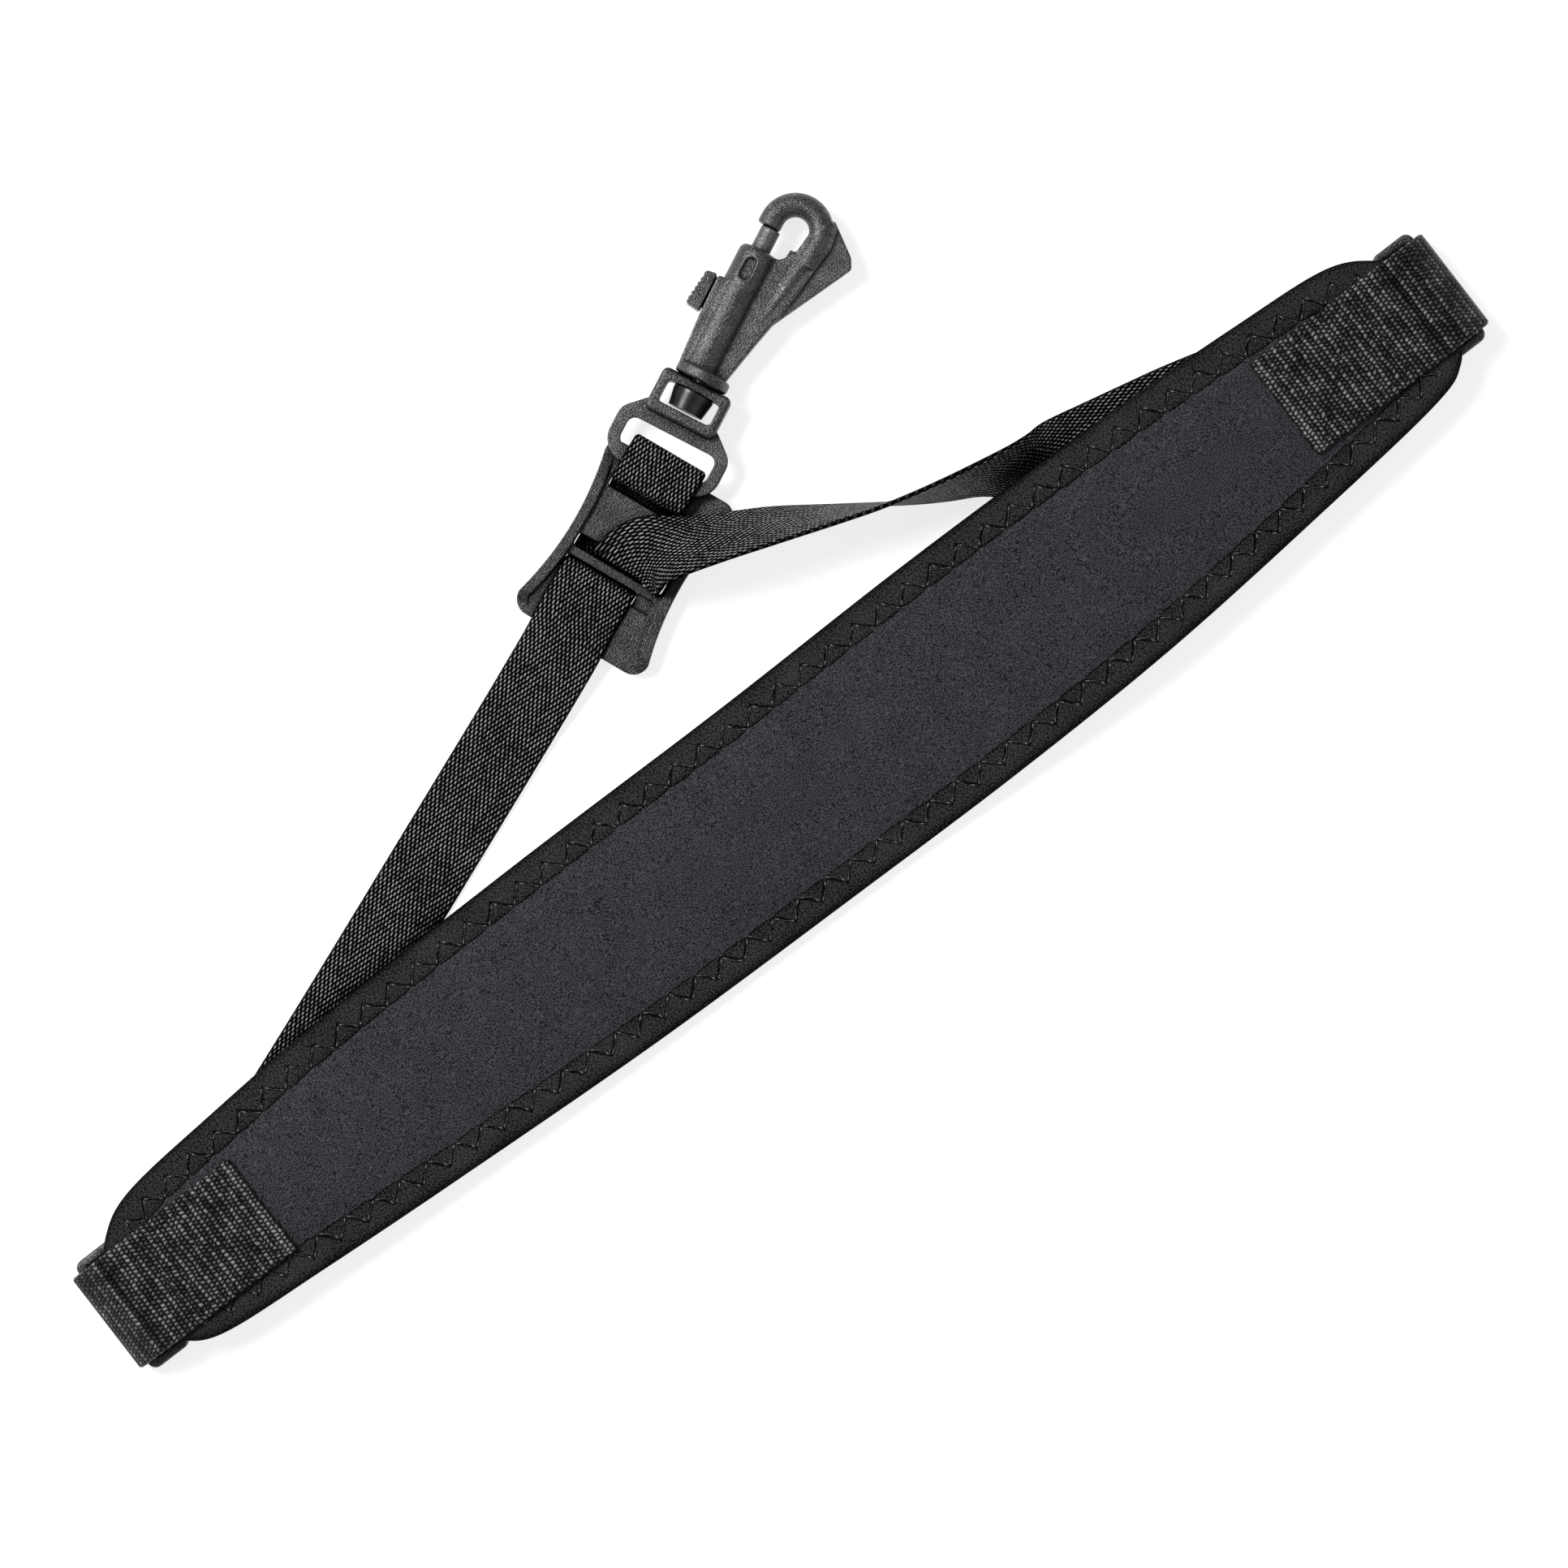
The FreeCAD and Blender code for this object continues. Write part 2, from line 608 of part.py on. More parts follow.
def hook_body():
    along = Vec(1, 0, 0)
    flange = Part.makeCylinder(FLANGE_RADIUS, FLANGE[1] - FLANGE[0], Vec(FLANGE[0], SWIVEL_B, 0), along)
    flange = flange.makeFillet(0.5, [e for e in flange.Edges if e.Length > 20])
    barrel = Part.makeCylinder(BARREL_RADIUS, BARREL[1] - BARREL[0] + 1, Vec(BARREL[0] - 1, BOLT_B, 0), along)
    barrel = barrel.makeFillet(BARREL_SHOULDER, [e for e in barrel.Edges if e.CenterOfMass.x > BARREL[1] - 0.1])
    rail_corners = [(7.5, 2), (30.9, 2), (30.9, 7.8), (20, 7.5), (7.5, 6.6)]
    rail = plate(rail_corners, [0, 0, 0.8, 0, 0], -RAIL_HALF, RAIL_HALF)
    spine_corners = [
        (7.5, -5.6), (20, -8.2), (34, -11.5), (49.5, -13.9), (54.2, -13.0), (56.5, -9.0), (49.5, -7.2), (44.0, -6.4),
        (41.0, -3.6), (41.0, 0), (7.5, 0),
    ]
    spine = plate(spine_corners, [0, 0, 0, 3, 2, 0, 0, 2.0, 1.5, 0, 0], -SPINE_HALF, SPINE_HALF)
    fin = plate([(19, -6), (47.2, -20.6), (49.8, -19.2), (56.0, -11.5), (50, -9)], [0, 0.9, 0.9, 0, 0], -1.1, 1.1)
    ridges = [
        ridge((12.0, -4.9), 1.6, (49.5, -10.25), ROD_RADIUS),
        ridge((10.0, -3.2), 1.3, (44.5, -6.9), 2.0),
    ]
    bore = Part.makeCylinder(BOLT_RADIUS + BOLT_FIT, 40, Vec(BORE_START, BOLT_B, 0), along)
    neck_slot = box((15.2, 29.6), (BOLT_B, 10), (-1.5, 1.5))
    recess = plate([(32.5, 0.6), (38.3, 0.6), (38.3, 3.4), (32.5, 3.4)], [1.3] * 4, BARREL_RADIUS - 1.1, 8)
    socket = Part.makeCylinder(STUD_RADIUS, 4, Vec(3.0, SWIVEL_B, 0), along)
    body = flange.fuse([barrel, rail, spine, fin] + ridges)
    body = body.cut(bore.fuse([neck_slot, recess])).fuse(hook_bend()).cut(socket)
    return on_hook(body.removeSplitter())


def ridge(start, start_radius, end, end_radius):
    """A round ridge on both faces of the spine, which tapers from one place to the other."""
    here = Vec(start[0], start[1], 0)
    run = Vec(end[0], end[1], 0) - here
    return Part.makeCone(start_radius, end_radius, run.Length, here, run)


def hook_bend():
    """The round end of the hook, with its nose over the bolt."""
    centre = Vec(BEND_CENTRE[0], BEND_CENTRE[1], 0)
    bend = Part.makeTorus(BEND_RADIUS, ROD_RADIUS, centre, UP, -180, 180, 180)
    bend.rotate(centre, UP, -90)
    top = centre + Vec(0, BEND_RADIUS, 0)
    nose = Part.makeCylinder(ROD_RADIUS, 2.2, top - Vec(2.2, 0, 0), Vec(1, 0, 0))
    nose = nose.makeFillet(0.5, [e for e in nose.Edges if e.CenterOfMass.x < top.x - 2.1])
    foot = Part.makeCylinder(ROD_RADIUS, 7.0, centre - Vec(7.0, BEND_RADIUS, 0), Vec(1, 0, 0))
    return bend.fuse([nose, foot])


def gate_bolt():
    bolt = Part.makeCylinder(BOLT_RADIUS, BOLT_END - BOLT_TAIL, Vec(BOLT_TAIL, BOLT_B, 0), Vec(1, 0, 0))
    return on_hook(bolt.makeFillet(0.4, [e for e in bolt.Edges if e.CenterOfMass.x > BOLT_END - 0.1]))


def thumb_slide():
    """The thumb piece, with a neck that reaches the bolt and a serrated top."""
    button = plate(
        [(20.8, 8.1), (31.1, 8.1), (30.6, 11.0), (21.3, 12.1)], [0.6, 0.6, 0.8, 0.8], -2.6, 2.6
    )
    neck = box((22.0, 29.3), (BOLT_B + BOLT_RADIUS + 0.02, 8.4), (-1.4, 1.4))
    slide = button.fuse(neck)
    for k in range(6):
        a = 22.2 + SERRATION_PITCH * k
        groove = Part.makeCylinder(SERRATION, 6, Vec(a, 12.25 - 0.118 * (a - 21.3), -3), UP)
        slide = slide.cut(groove)
    return on_hook(slide.removeSplitter())


def gate_spring():
    """A compression spring behind the bolt, between it and the end of its bore."""
    length = BOLT_TAIL - BORE_START - 2 * (SPRING_WIRE + SPRING_PLAY)
    helix = Part.makeHelix(SPRING_PITCH, length, SPRING_RADIUS)
    profile = Part.Wire(Part.makeCircle(SPRING_WIRE, Vec(SPRING_RADIUS, 0, 0), Vec(0, 1, 0)))
    coil = Part.Wire(helix.Edges).makePipeShell([profile], True, True)
    coil.rotate(Vec(), Vec(0, 1, 0), 90)
    coil.translate(Vec(BORE_START + SPRING_WIRE + SPRING_PLAY, BOLT_B, 0))
    return on_hook(coil)


def all_parts():
    nodes = {
        "pad_foam_core": pad_foam_core(),
        "pad_front_cover": pad_cover(PAD_THICKNESS, -1),
        "pad_back_cover": pad_cover(0, 1),
        "edge_binding": edge_binding(),
        "binding_stitch_front": binding_stitch(PAD_THICKNESS - TAPE_SINK + LAYER_GAP),
        "binding_stitch_back": binding_stitch(TAPE_SINK - LAYER_GAP - THREAD_HEIGHT),
        "strap_left": strap_left(),
        "strap_hook_loop": strap_hook_loop(),
        "strap_right": strap_right(),
        "slider_plate": slider_plate(),
        "swivel_ring": swivel_ring(),
        "swivel_stud": swivel_stud(),
        "hook_body": hook_body(),
        "gate_bolt": gate_bolt(),
        "thumb_slide": thumb_slide(),
        "gate_spring": gate_spring(),
    }
    for name, end in ENDS.items():
        nodes["tab_" + name] = tab(end)
        nodes["tab_stitch_" + name] = tab_stitch(end)
        nodes["end_ring_" + name] = end_ring(end)
        nodes["strap_stitch_" + name] = strap_stitch(end)
    return nodes


os.makedirs("parts", exist_ok=True)
for node, shape in all_parts().items():
    print(f"{node}: {len(shape.Solids)} solids, {shape.Volume:.1f} mm3, valid {shape.isValid()}")
    shape.exportStep(f"parts/{node}.step")
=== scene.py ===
"""Looks of a saxophone neck strap: a bound padded panel, woven straps and moulded black hardware.

Shapes are worked out in millimetres and become metres where a mesh is made. X runs along the pad, Y points
from the pad towards the hook and Z is up.
"""
import bmesh
import bpy
import math
import numpy as np
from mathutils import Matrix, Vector, kdtree


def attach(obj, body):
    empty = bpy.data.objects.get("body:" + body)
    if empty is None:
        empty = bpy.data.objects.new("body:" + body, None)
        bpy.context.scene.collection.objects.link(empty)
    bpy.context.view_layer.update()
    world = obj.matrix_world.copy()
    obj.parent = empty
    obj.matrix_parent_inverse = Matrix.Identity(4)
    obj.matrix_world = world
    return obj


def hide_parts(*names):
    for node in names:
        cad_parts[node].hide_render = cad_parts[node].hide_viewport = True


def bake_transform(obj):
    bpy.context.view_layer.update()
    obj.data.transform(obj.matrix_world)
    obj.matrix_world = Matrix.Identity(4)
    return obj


MM = 0.001
UP = np.array([0.0, 0.0, 1.0])

# Neck pad
PAD_THICKNESS = 6.0
PAD_OUTLINE = [
    (203.5, 0), (202.0, 9.5), (196.5, 15.8), (185, 21.9), (160, 24.3), (120, 26.4), (60, 27.7), (0, 27.3),
    (-60, 27.7), (-120, 26.9), (-160, 24.5), (-186, 21.9), (-197, 16.8), (-202.2, 9.5), (-203.5, 0),
    (-202.2, -9.0), (-198, -15.3), (-188, -20.2), (-160, -22.7), (-120, -25.4), (-60, -28.6), (0, -29.8),
    (50, -30.2), (100, -28.8), (150, -24.8), (186, -21.0), (197, -17.0), (202.0, -9.0),
]
PAD_LINE = [(-210, 7.7), (-45, 0), (25, 0), (90, 7.5), (210, 7.2)]
PAD_LINE_EASE = 17.0
TAPE_WIDTH = 8.5
TAPE_THICKNESS = 0.5
TAPE_HALF = 2.6
CROWN = 0.35
PANEL_STEP = 1.0        # along the pad's outline
TAPE_STEP = 0.7

# Sewing thread
THREAD_RADIUS = 0.2
STITCH_PITCH = 4.0
STITCH_INSETS = (3.8, 8.0)
# A stitch from hole to hole: share of its length, and height over the cloth
LEG_SHAPE = [
    (0.03, -0.6), (0.07, -0.15), (0.18, 0.05), (0.5, 0.02), (0.82, 0.05), (0.93, -0.15), (0.97, -0.6),
]
BOX_LEG_SHAPE = [(0.08, -0.3), (0.25, 0.02), (0.5, 0.05), (0.75, 0.02), (0.92, -0.3)]

# Webbing and elastic
WEBBING_WIDTH = 19.9
WEBBING = 1.2
TAB_WIDTH = 27.8
TAB_THICKNESS = 1.2
HEM_WIDTH = 3.2
HEM_SWELL = 1.45
BOX_LENGTH = 26.0       # of the tab's sewn box
BOX_START = 3.5         # from the tab's hem
BOX_MARGIN = 2.5        # from the tab's edges
BOX_STITCH = 3.2
RING_HEIGHT = 2.7
RING_SPAN = 9.7
TAB_BEND = 2.0
TACK_START = 17.0       # of the bar tack, from the end ring's inner bar
TACK_ROWS = (0.0, 4.0, 8.0)
TACK_WIDTH = 16.0
TACK_LEGS = 26
ENDS = {
    "left": {"side": -1, "bar": 208.4, "tab_y": -0.7, "hem": 161.5, "strap_y": 2.5},
    "right": {"side": 1, "bar": 207.0, "tab_y": 0.8, "hem": 155.3, "strap_y": 4.8},
}
FLOOR_LAYER = 0.7
UPPER_LAYER = 2.1
PLATE_LAYER = 5.2

# Slider's own frame: u along the strap towards the hook, w to its left
SLIDER_PLACE = np.array([0.25, 69.0, 0.0])
SLIDER_AZIMUTH = math.radians(22)
SLIDER_ALONG = np.array([math.cos(SLIDER_AZIMUTH), math.sin(SLIDER_AZIMUTH), 0.0])
SLIDER_ACROSS = np.cross(UP, SLIDER_ALONG)
LOOP_W = 2.9
RIGHT_W = -2.0

# Routes of the straps in metres, from the end ring's strap to the slider, and from the slider back.
# The second has the webbing's tilt in degrees as a fourth number.
LEFT_ROUTE = [
    (-0.183, 0.0025, 0.0007), (-0.166, 0.0070, 0.0007), (-0.044, 0.0540, 0.0008), (-0.030, 0.0594, 0.0036),
    (-0.0189, 0.06375, 0.0052),
]
RIGHT_ROUTE = [
    (0.009, 0.0684, 0.0068, -10), (0.014, 0.0663, 0.0108, -30), (0.020, 0.0634, 0.0140, -44),
    (0.030, 0.0590, 0.0146, -53), (0.040, 0.0546, 0.0126, -60), (0.052, 0.0483, 0.0109, -73),
    (0.062, 0.0431, 0.0104, -83), (0.072, 0.0384, 0.0103, -95), (0.080, 0.0352, 0.0102, -104),
    (0.088, 0.0326, 0.0094, -112), (0.095, 0.0294, 0.0076, -130), (0.102, 0.0266, 0.0046, -155),
    (0.111, 0.0240, 0.0024, -171), (0.122, 0.0216, 0.0007, -180), (0.144, 0.0167, 0.0007, -180),
    (0.181, 0.0054, 0.0007, -180),
]

CAMERA_PLACE = (0.0025, 0.0029, 1.080)
CAMERA_TURN = -37.6

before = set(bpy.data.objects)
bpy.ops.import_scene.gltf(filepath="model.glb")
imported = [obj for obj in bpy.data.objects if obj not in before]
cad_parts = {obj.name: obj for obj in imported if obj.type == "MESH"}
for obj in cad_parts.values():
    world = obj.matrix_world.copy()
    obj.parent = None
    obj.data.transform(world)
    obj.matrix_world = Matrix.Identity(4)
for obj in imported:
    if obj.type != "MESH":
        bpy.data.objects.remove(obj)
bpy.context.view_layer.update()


# ---- camera, light and floor ----

def add_camera():
    camera = bpy.data.objects.new("camera", bpy.data.cameras.new("camera"))
    bpy.context.scene.collection.objects.link(camera)
    camera.data.lens = 100
    camera.data.sensor_width = 36
    camera.location = CAMERA_PLACE
    camera.rotation_euler = (0, 0, math.radians(CAMERA_TURN))
    bpy.context.scene.camera = camera


def add_area_light(name, place, size, power):
    light = bpy.data.lights.new(name, "AREA")
    light.size = size
    light.energy = power
    lamp = bpy.data.objects.new(name, light)
    bpy.context.scene.collection.objects.link(lamp)
    lamp.location = place
    lamp.rotation_euler = Vector(place).to_track_quat("Z", "Y").to_euler()
    lamp.visible_camera = False


def add_world():
    world = bpy.data.worlds.new("studio")
    world.use_nodes = True
    background = world.node_tree.nodes["Background"]
    background.inputs["Color"].default_value = (1, 1, 1, 1)
    background.inputs["Strength"].default_value = 0.3
    bpy.context.scene.world = world
    bpy.context.scene.view_settings.view_transform = "Standard"


def add_floor():
    reach = 3000
    corners = [(-reach, -reach, 0), (reach, -reach, 0), (reach, reach, 0), (-reach, reach, 0)]
    floor = mesh_object("floor", corners, [(0, 1, 2, 3)])
    _, shader = new_material(floor, "floor", 0.9, 0.0)
    shader.inputs["Base Color"].default_value = (0.36, 0.36, 0.36, 1)
    shader.inputs["Emission Color"].default_value = (1, 1, 1, 1)
    shader.inputs["Emission Strength"].default_value = 0.76


# ---- patterns and materials ----

class Field:
    """A number that varies over a surface, so that a pattern reads as arithmetic."""

    def __init__(self, tree, socket):
        self.tree = tree
        self.socket = socket

    def step(self, operation, *others):
        node = self.tree.nodes.new("ShaderNodeMath")
        node.operation = operation
        for place, value in enumerate((self,) + others):
            if isinstance(value, Field):
                self.tree.links.new(value.socket, node.inputs[place])
            else:
                node.inputs[place].default_value = value
        return Field(self.tree, node.outputs[0])

    def __add__(self, other):
        return self.step("ADD", other)

    def __sub__(self, other):
        return self.step("SUBTRACT", other)

    def __rsub__(self, other):
        return self * -1 + other

    def __mul__(self, other):
        return self.step("MULTIPLY", other)

    def __truediv__(self, other):
        return self.step("DIVIDE", other)

    def floor(self):
        return self.step("FLOOR")

    def centred(self):
        """Place within a cell of size 1, from -0.5 to 0.5."""
        return self.step("FRACT") - 0.5

    def clamped(self):
        return self.step("MAXIMUM", 0.0).step("MINIMUM", 1.0)

    def bulge(self, width):
        """1 at 0 and falling to 0 at this distance from it, like the top of a yarn."""
        share = self / width
        return (share * share * -1 + 1).clamped()


def coordinates(tree):
    """Place on the object in millimetres."""
    source = tree.nodes.new("ShaderNodeTexCoord").outputs["Object"]
    scale = tree.nodes.new("ShaderNodeVectorMath")
    scale.operation = "SCALE"
    scale.inputs["Scale"].default_value = 1 / MM
    tree.links.new(source, scale.inputs[0])
    return scale.outputs[0]


def band_coordinates(tree):
    """Distance across and along a band, in millimetres, as two fields and as a vector."""
    source = tree.nodes.new("ShaderNodeUVMap")
    source.uv_map = "band"
    split = tree.nodes.new("ShaderNodeSeparateXYZ")
    tree.links.new(source.outputs[0], split.inputs[0])
    return Field(tree, split.outputs[0]), Field(tree, split.outputs[1]), source.outputs[0]


def joined(tree, x, y):
    node = tree.nodes.new("ShaderNodeCombineXYZ")
    tree.links.new(x.socket, node.inputs[0])
    tree.links.new(y.socket, node.inputs[1])
    return node.outputs[0]


def noise(tree, place, scale, detail=2.0):
    """Soft mottling with about this many spots in a millimetre, around 0.5."""
    node = tree.nodes.new("ShaderNodeTexNoise")
    node.inputs["Scale"].default_value = scale
    node.inputs["Detail"].default_value = detail
    tree.links.new(place, node.inputs["Vector"])
    return Field(tree, node.outputs["Fac"])


def cell_shade(tree, place):
    """A number from 0 to 1, the same all over a cell of size 1."""
    node = tree.nodes.new("ShaderNodeTexWhiteNoise")
    node.noise_dimensions = "2D"
    tree.links.new(place, node.inputs["Vector"])
    return Field(tree, node.outputs["Value"])


def new_material(piece, name, roughness, specular):
    """A material on the piece, alone, and its node tree and shader."""
    made = bpy.data.materials.new(name)
    made.use_nodes = True
    shader = made.node_tree.nodes["Principled BSDF"]
    shader.inputs["Roughness"].default_value = roughness
    shader.inputs["Specular IOR Level"].default_value = specular
    piece.data.materials.clear()
    piece.data.materials.append(made)
    return made.node_tree, shader


def paint(tree, shader, shade, colours):
    """Base colour from a field: each entry is a place from 0 to 1 and a colour."""
    ramp = tree.nodes.new("ShaderNodeValToRGB")
    elements = ramp.color_ramp.elements
    while len(elements) < len(colours):
        elements.new(0.5)
    for element, (place, colour) in zip(elements, colours):
        element.position = place
        element.color = (*colour, 1)
    tree.links.new(shade.socket, ramp.inputs[0])
    tree.links.new(ramp.outputs[0], shader.inputs["Base Color"])


def emboss(tree, shader, height, depth):
    """Bumps of this depth in millimetres where the height field goes from 0 to 1."""
    bump = tree.nodes.new("ShaderNodeBump")
    bump.inputs["Distance"].default_value = depth * MM
    tree.links.new(height.socket, bump.inputs["Height"])
    tree.links.new(bump.outputs[0], shader.inputs["Normal"])


def gloss(tree, shader, shade, most):
    """Less reflection where the field is low, as down between yarns."""
    tree.links.new((shade.clamped() * most).socket, shader.inputs["Specular IOR Level"])


def sheen(shader, weight, roughness, tint):
    shader.inputs["Sheen Weight"].default_value = weight
    shader.inputs["Sheen Roughness"].default_value = roughness
    shader.inputs["Sheen Tint"].default_value = (*tint, 1)


def jersey(piece):
    """The pad's knitted cover: a very dark blue grey with a fine speckle."""
    tree, shader = new_material(piece, "jersey", 0.7, 0.2)
    place = coordinates(tree)
    speckle = noise(tree, place, 3.2, 2)
    mottle = noise(tree, place, 0.12)
    shade = (speckle - 0.5) * 4.6 + (mottle - 0.5) * 0.3 + 0.5
    paint(tree, shader, shade, [(0.0, (0.005, 0.005, 0.0065)), (1.0, (0.042, 0.041, 0.048))])
    gloss(tree, shader, shade, 0.3)
    emboss(tree, shader, speckle, 0.3)
    sheen(shader, 0.05, 0.5, (0.9, 0.9, 1.0))


def tape_cloth(piece):
    """The binding tape: brownish black twill, pinched where the zigzag crosses it, with painted shade along
    the zigzag, along its inner edge and over its rounded outer edge.
    """
    tree, shader = new_material(piece, "tape", 0.75, 0.15)
    inset, along, place = band_coordinates(tree)
    ribs = ((along * 0.7 + inset) / 0.55).centred().bulge(0.5)
    speckle = noise(tree, place, 2.2, 2)
    mottle = noise(tree, place, 0.08)
    zigzag = (along + STITCH_PITCH).step("PINGPONG", STITCH_PITCH) / STITCH_PITCH
    row = zigzag * (STITCH_INSETS[0] - STITCH_INSETS[1]) + STITCH_INSETS[1]
    # groove: painted shade along the zigzag's legs, where the thread pulls the tape down; the same field
    # dents the bump.
    groove = (inset - row).bulge(0.6)
    middle = (inset - 4.6).bulge(5.5)
    # selvedge: painted shadow along the tape's inner edge, where it steps down to the panel.
    selvedge = (inset - 8.4).bulge(0.4)
    shade = (speckle - 0.5) * 3.4 + (mottle - 0.5) * 0.6 + ribs * 0.15 + middle * 0.5 - 0.05
    # The last factor is painted shade over the rounded outer edge, where the floor's bounce would light it.
    shade = (shade - groove * 0.6 - selvedge * 0.4) * ((inset + 0.3) / 2.0).clamped()
    paint(tree, shader, shade, [(0.0, (0.0025, 0.0025, 0.0025)), (1.0, (0.034, 0.031, 0.032))])
    gloss(tree, shader, shade, 0.2)
    emboss(tree, shader, ribs * 0.4 + speckle * 0.6 - groove * 1.5, 0.25)


def twisted_thread(piece, light=1.0):
    """Black polyester thread: dark, with plies, and with painted glints near both ends of each stitch, where
    it goes down into the cloth.
    """
    tree, shader = new_material(piece, "thread", 0.3, 0.6)
    around, along, place = band_coordinates(tree)
    plies = (along / 0.6 + around).centred().bulge(0.5)
    # Painted highlight: glints near both ends of each stitch leg.
    painted_glints = (along - 0.9).bulge(0.8) + (along - 4.9).bulge(0.7)
    patch = noise(tree, place, 0.6)
    shade = plies * 0.3 + (patch - 0.4) * 1.5 + painted_glints * 0.35
    levels = [(0.15, 0.004), (0.6, 0.020), (1.0, 0.24)]
    paint(tree, shader, shade, [(place, (level * light,) * 3) for place, level in levels])
    gloss(tree, shader, shade, 0.8 * light)
    emboss(tree, shader, plies, 0.12)


def herringbone(piece):
    """Polyester webbing: narrow columns of bright floats that step up and down in chevrons, with painted
    shade between the floats, along the edges, in broad folds and in slots.
    """
    tree, shader = new_material(piece, "webbing", 0.38, 0.45)
    across, along, place = band_coordinates(tree)
    wobble = noise(tree, place, 0.35) - 0.5
    column = across / 0.5 + 60 + wobble * 0.3
    row = along / 2.3 + column.floor().step("PINGPONG", 10.0) * 0.44 + wobble * 0.35
    x = column.centred()
    y = row.centred()
    float_top = x.bulge(0.54) * y.bulge(0.27)
    # inner: painted shade along both edges, which would otherwise glint bright edge-on.
    inner = 1 - ((across.step("ABSOLUTE") - 9.3) / 0.5).clamped() * 0.8
    cell = cell_shade(tree, joined(tree, column.floor(), row.floor()))
    fibres = noise(tree, place, 3.0, 2)
    # fold: broad patches of painted shade, as where the webbing folds and cups.
    fold = noise(tree, place, 0.08)
    light = (fold + 0.5) * inner * crevice_shade(tree, 5.0)
    # The near-black between the floats is painted shade as well as the weave's pattern.
    shade = float_top * (cell * 0.7 + 0.6) * (fibres * 1.5 + 0.3) * light
    paint(tree, shader, shade, [
        (0.05, (0.0012, 0.0012, 0.0012)), (0.35, (0.024, 0.024, 0.024)), (0.9, (0.27, 0.265, 0.27)),
    ])
    gloss(tree, shader, shade, 0.7)
    emboss(tree, shader, float_top * 0.85 + fibres * 0.15, 0.45)


def ribbed_elastic(piece):
    """The tabs' coarse elastic: fat yarns in uneven ribs, with painted shade past the crease at the pad's end
    and in the crease, and a painted highlight on the raised hem.
    """
    tree, shader = new_material(piece, "elastic", 0.42, 0.45)
    across, along, place = band_coordinates(tree)
    wobble = noise(tree, place, 0.30) - 0.5
    row = along / 1.25 + wobble * 0.9
    parity = row.floor().step("PINGPONG", 1.0)
    column = across / 1.15 + 40 + parity * 0.5 + wobble * 1.5
    x = column.centred()
    y = row.centred()
    float_top = x.bulge(0.55) * y.bulge(0.58) * 1.25
    cell = cell_shade(tree, joined(tree, column.floor(), row.floor()))
    fibres = noise(tree, place, 2.6, 3)
    worn = noise(tree, place, 0.16)
    # beyond and crease: painted shade where the tab turns down over the pad's end and in its crease.
    beyond = ((along - 41.0) / 3.0).clamped()
    crease = (along - 40.0).bulge(1.6)
    # hem: painted highlight on the raised hem.
    hem = 1 - ((along - 2.4) / 0.8).clamped()
    tone_and_painted_light = (worn * 1.2 + 0.1) * (parity * 0.35 + 0.6) + hem * 0.2
    tone_and_painted_light = tone_and_painted_light * (1 - beyond * 0.25) * (1 - crease * 0.5)
    shade = float_top * (cell * 0.5 + 0.7) * (fibres * 1.8 + 0.1) * tone_and_painted_light
    paint(tree, shader, shade, [
        (0.05, (0.001, 0.001, 0.001)), (0.35, (0.018, 0.018, 0.017)), (0.95, (0.20, 0.195, 0.19)),
    ])
    gloss(tree, shader, shade, 0.6)
    emboss(tree, shader, float_top * 0.85 + fibres * 0.15, 0.6)


def moulded_plastic(piece, name, light=1.0):
    """Black nylon with a spark-eroded grain, edges painted paler as rubbed wear and as a painted highlight,
    and painted shade in crevices.
    """
    tree, shader = new_material(piece, name, 0.32, 0.5)
    place = coordinates(tree)
    grain = noise(tree, place, 2.8, 2)
    cloud = noise(tree, place, 0.2)
    # Convex edges painted paler: partly rubbed wear, partly painted highlight; open_to_light is painted shade
    # in crevices.
    wear_and_highlight = edge_wear_and_highlight(tree)
    open_to_light = crevice_shade(tree, 3.0)
    shade = ((grain - 0.5) * 2.5 + (cloud - 0.5) * 0.8 + 0.3).clamped() * 0.65 + wear_and_highlight * 0.6
    levels = [(0.0, 0.004), (0.6, 0.055), (1.0, 0.18)]
    paint(tree, shader, shade * open_to_light, [
        (place, (level * light, level * light * 0.985, level * light * 1.02)) for place, level in levels
    ])
    gloss(tree, shader, (shade + 0.4) * open_to_light, 0.5 + 0.6 * light)
    emboss(tree, shader, grain, 0.2)


def crevice_shade(tree, reach):
    """Painted shade: 1 in the open, and towards 0 in corners and slots narrower than this many millimetres.
    """
    node = tree.nodes.new("ShaderNodeAmbientOcclusion")
    node.samples = 6
    node.inputs["Distance"].default_value = reach * MM
    opened = Field(tree, node.outputs["AO"])
    return (opened * 1.6 - 0.6).clamped()


def edge_wear_and_highlight(tree):
    """1 along convex edges, which are painted paler: partly rubbed wear, partly a painted highlight."""
    geometry = tree.nodes.new("ShaderNodeNewGeometry")
    return ((Field(tree, geometry.outputs["Pointiness"]) - 0.515) * 14).clamped()


def glossy_plastic(piece):
    """The stud's smooth black plastic, a little smudged."""
    tree, shader = new_material(piece, "stud_plastic", 0.3, 0.35)
    place = coordinates(tree)
    smudge = noise(tree, place, 0.5, 3)
    paint(tree, shader, smudge, [(0.3, (0.004, 0.004, 0.005)), (0.8, (0.012, 0.012, 0.013))])
    emboss(tree, shader, smudge, 0.03)


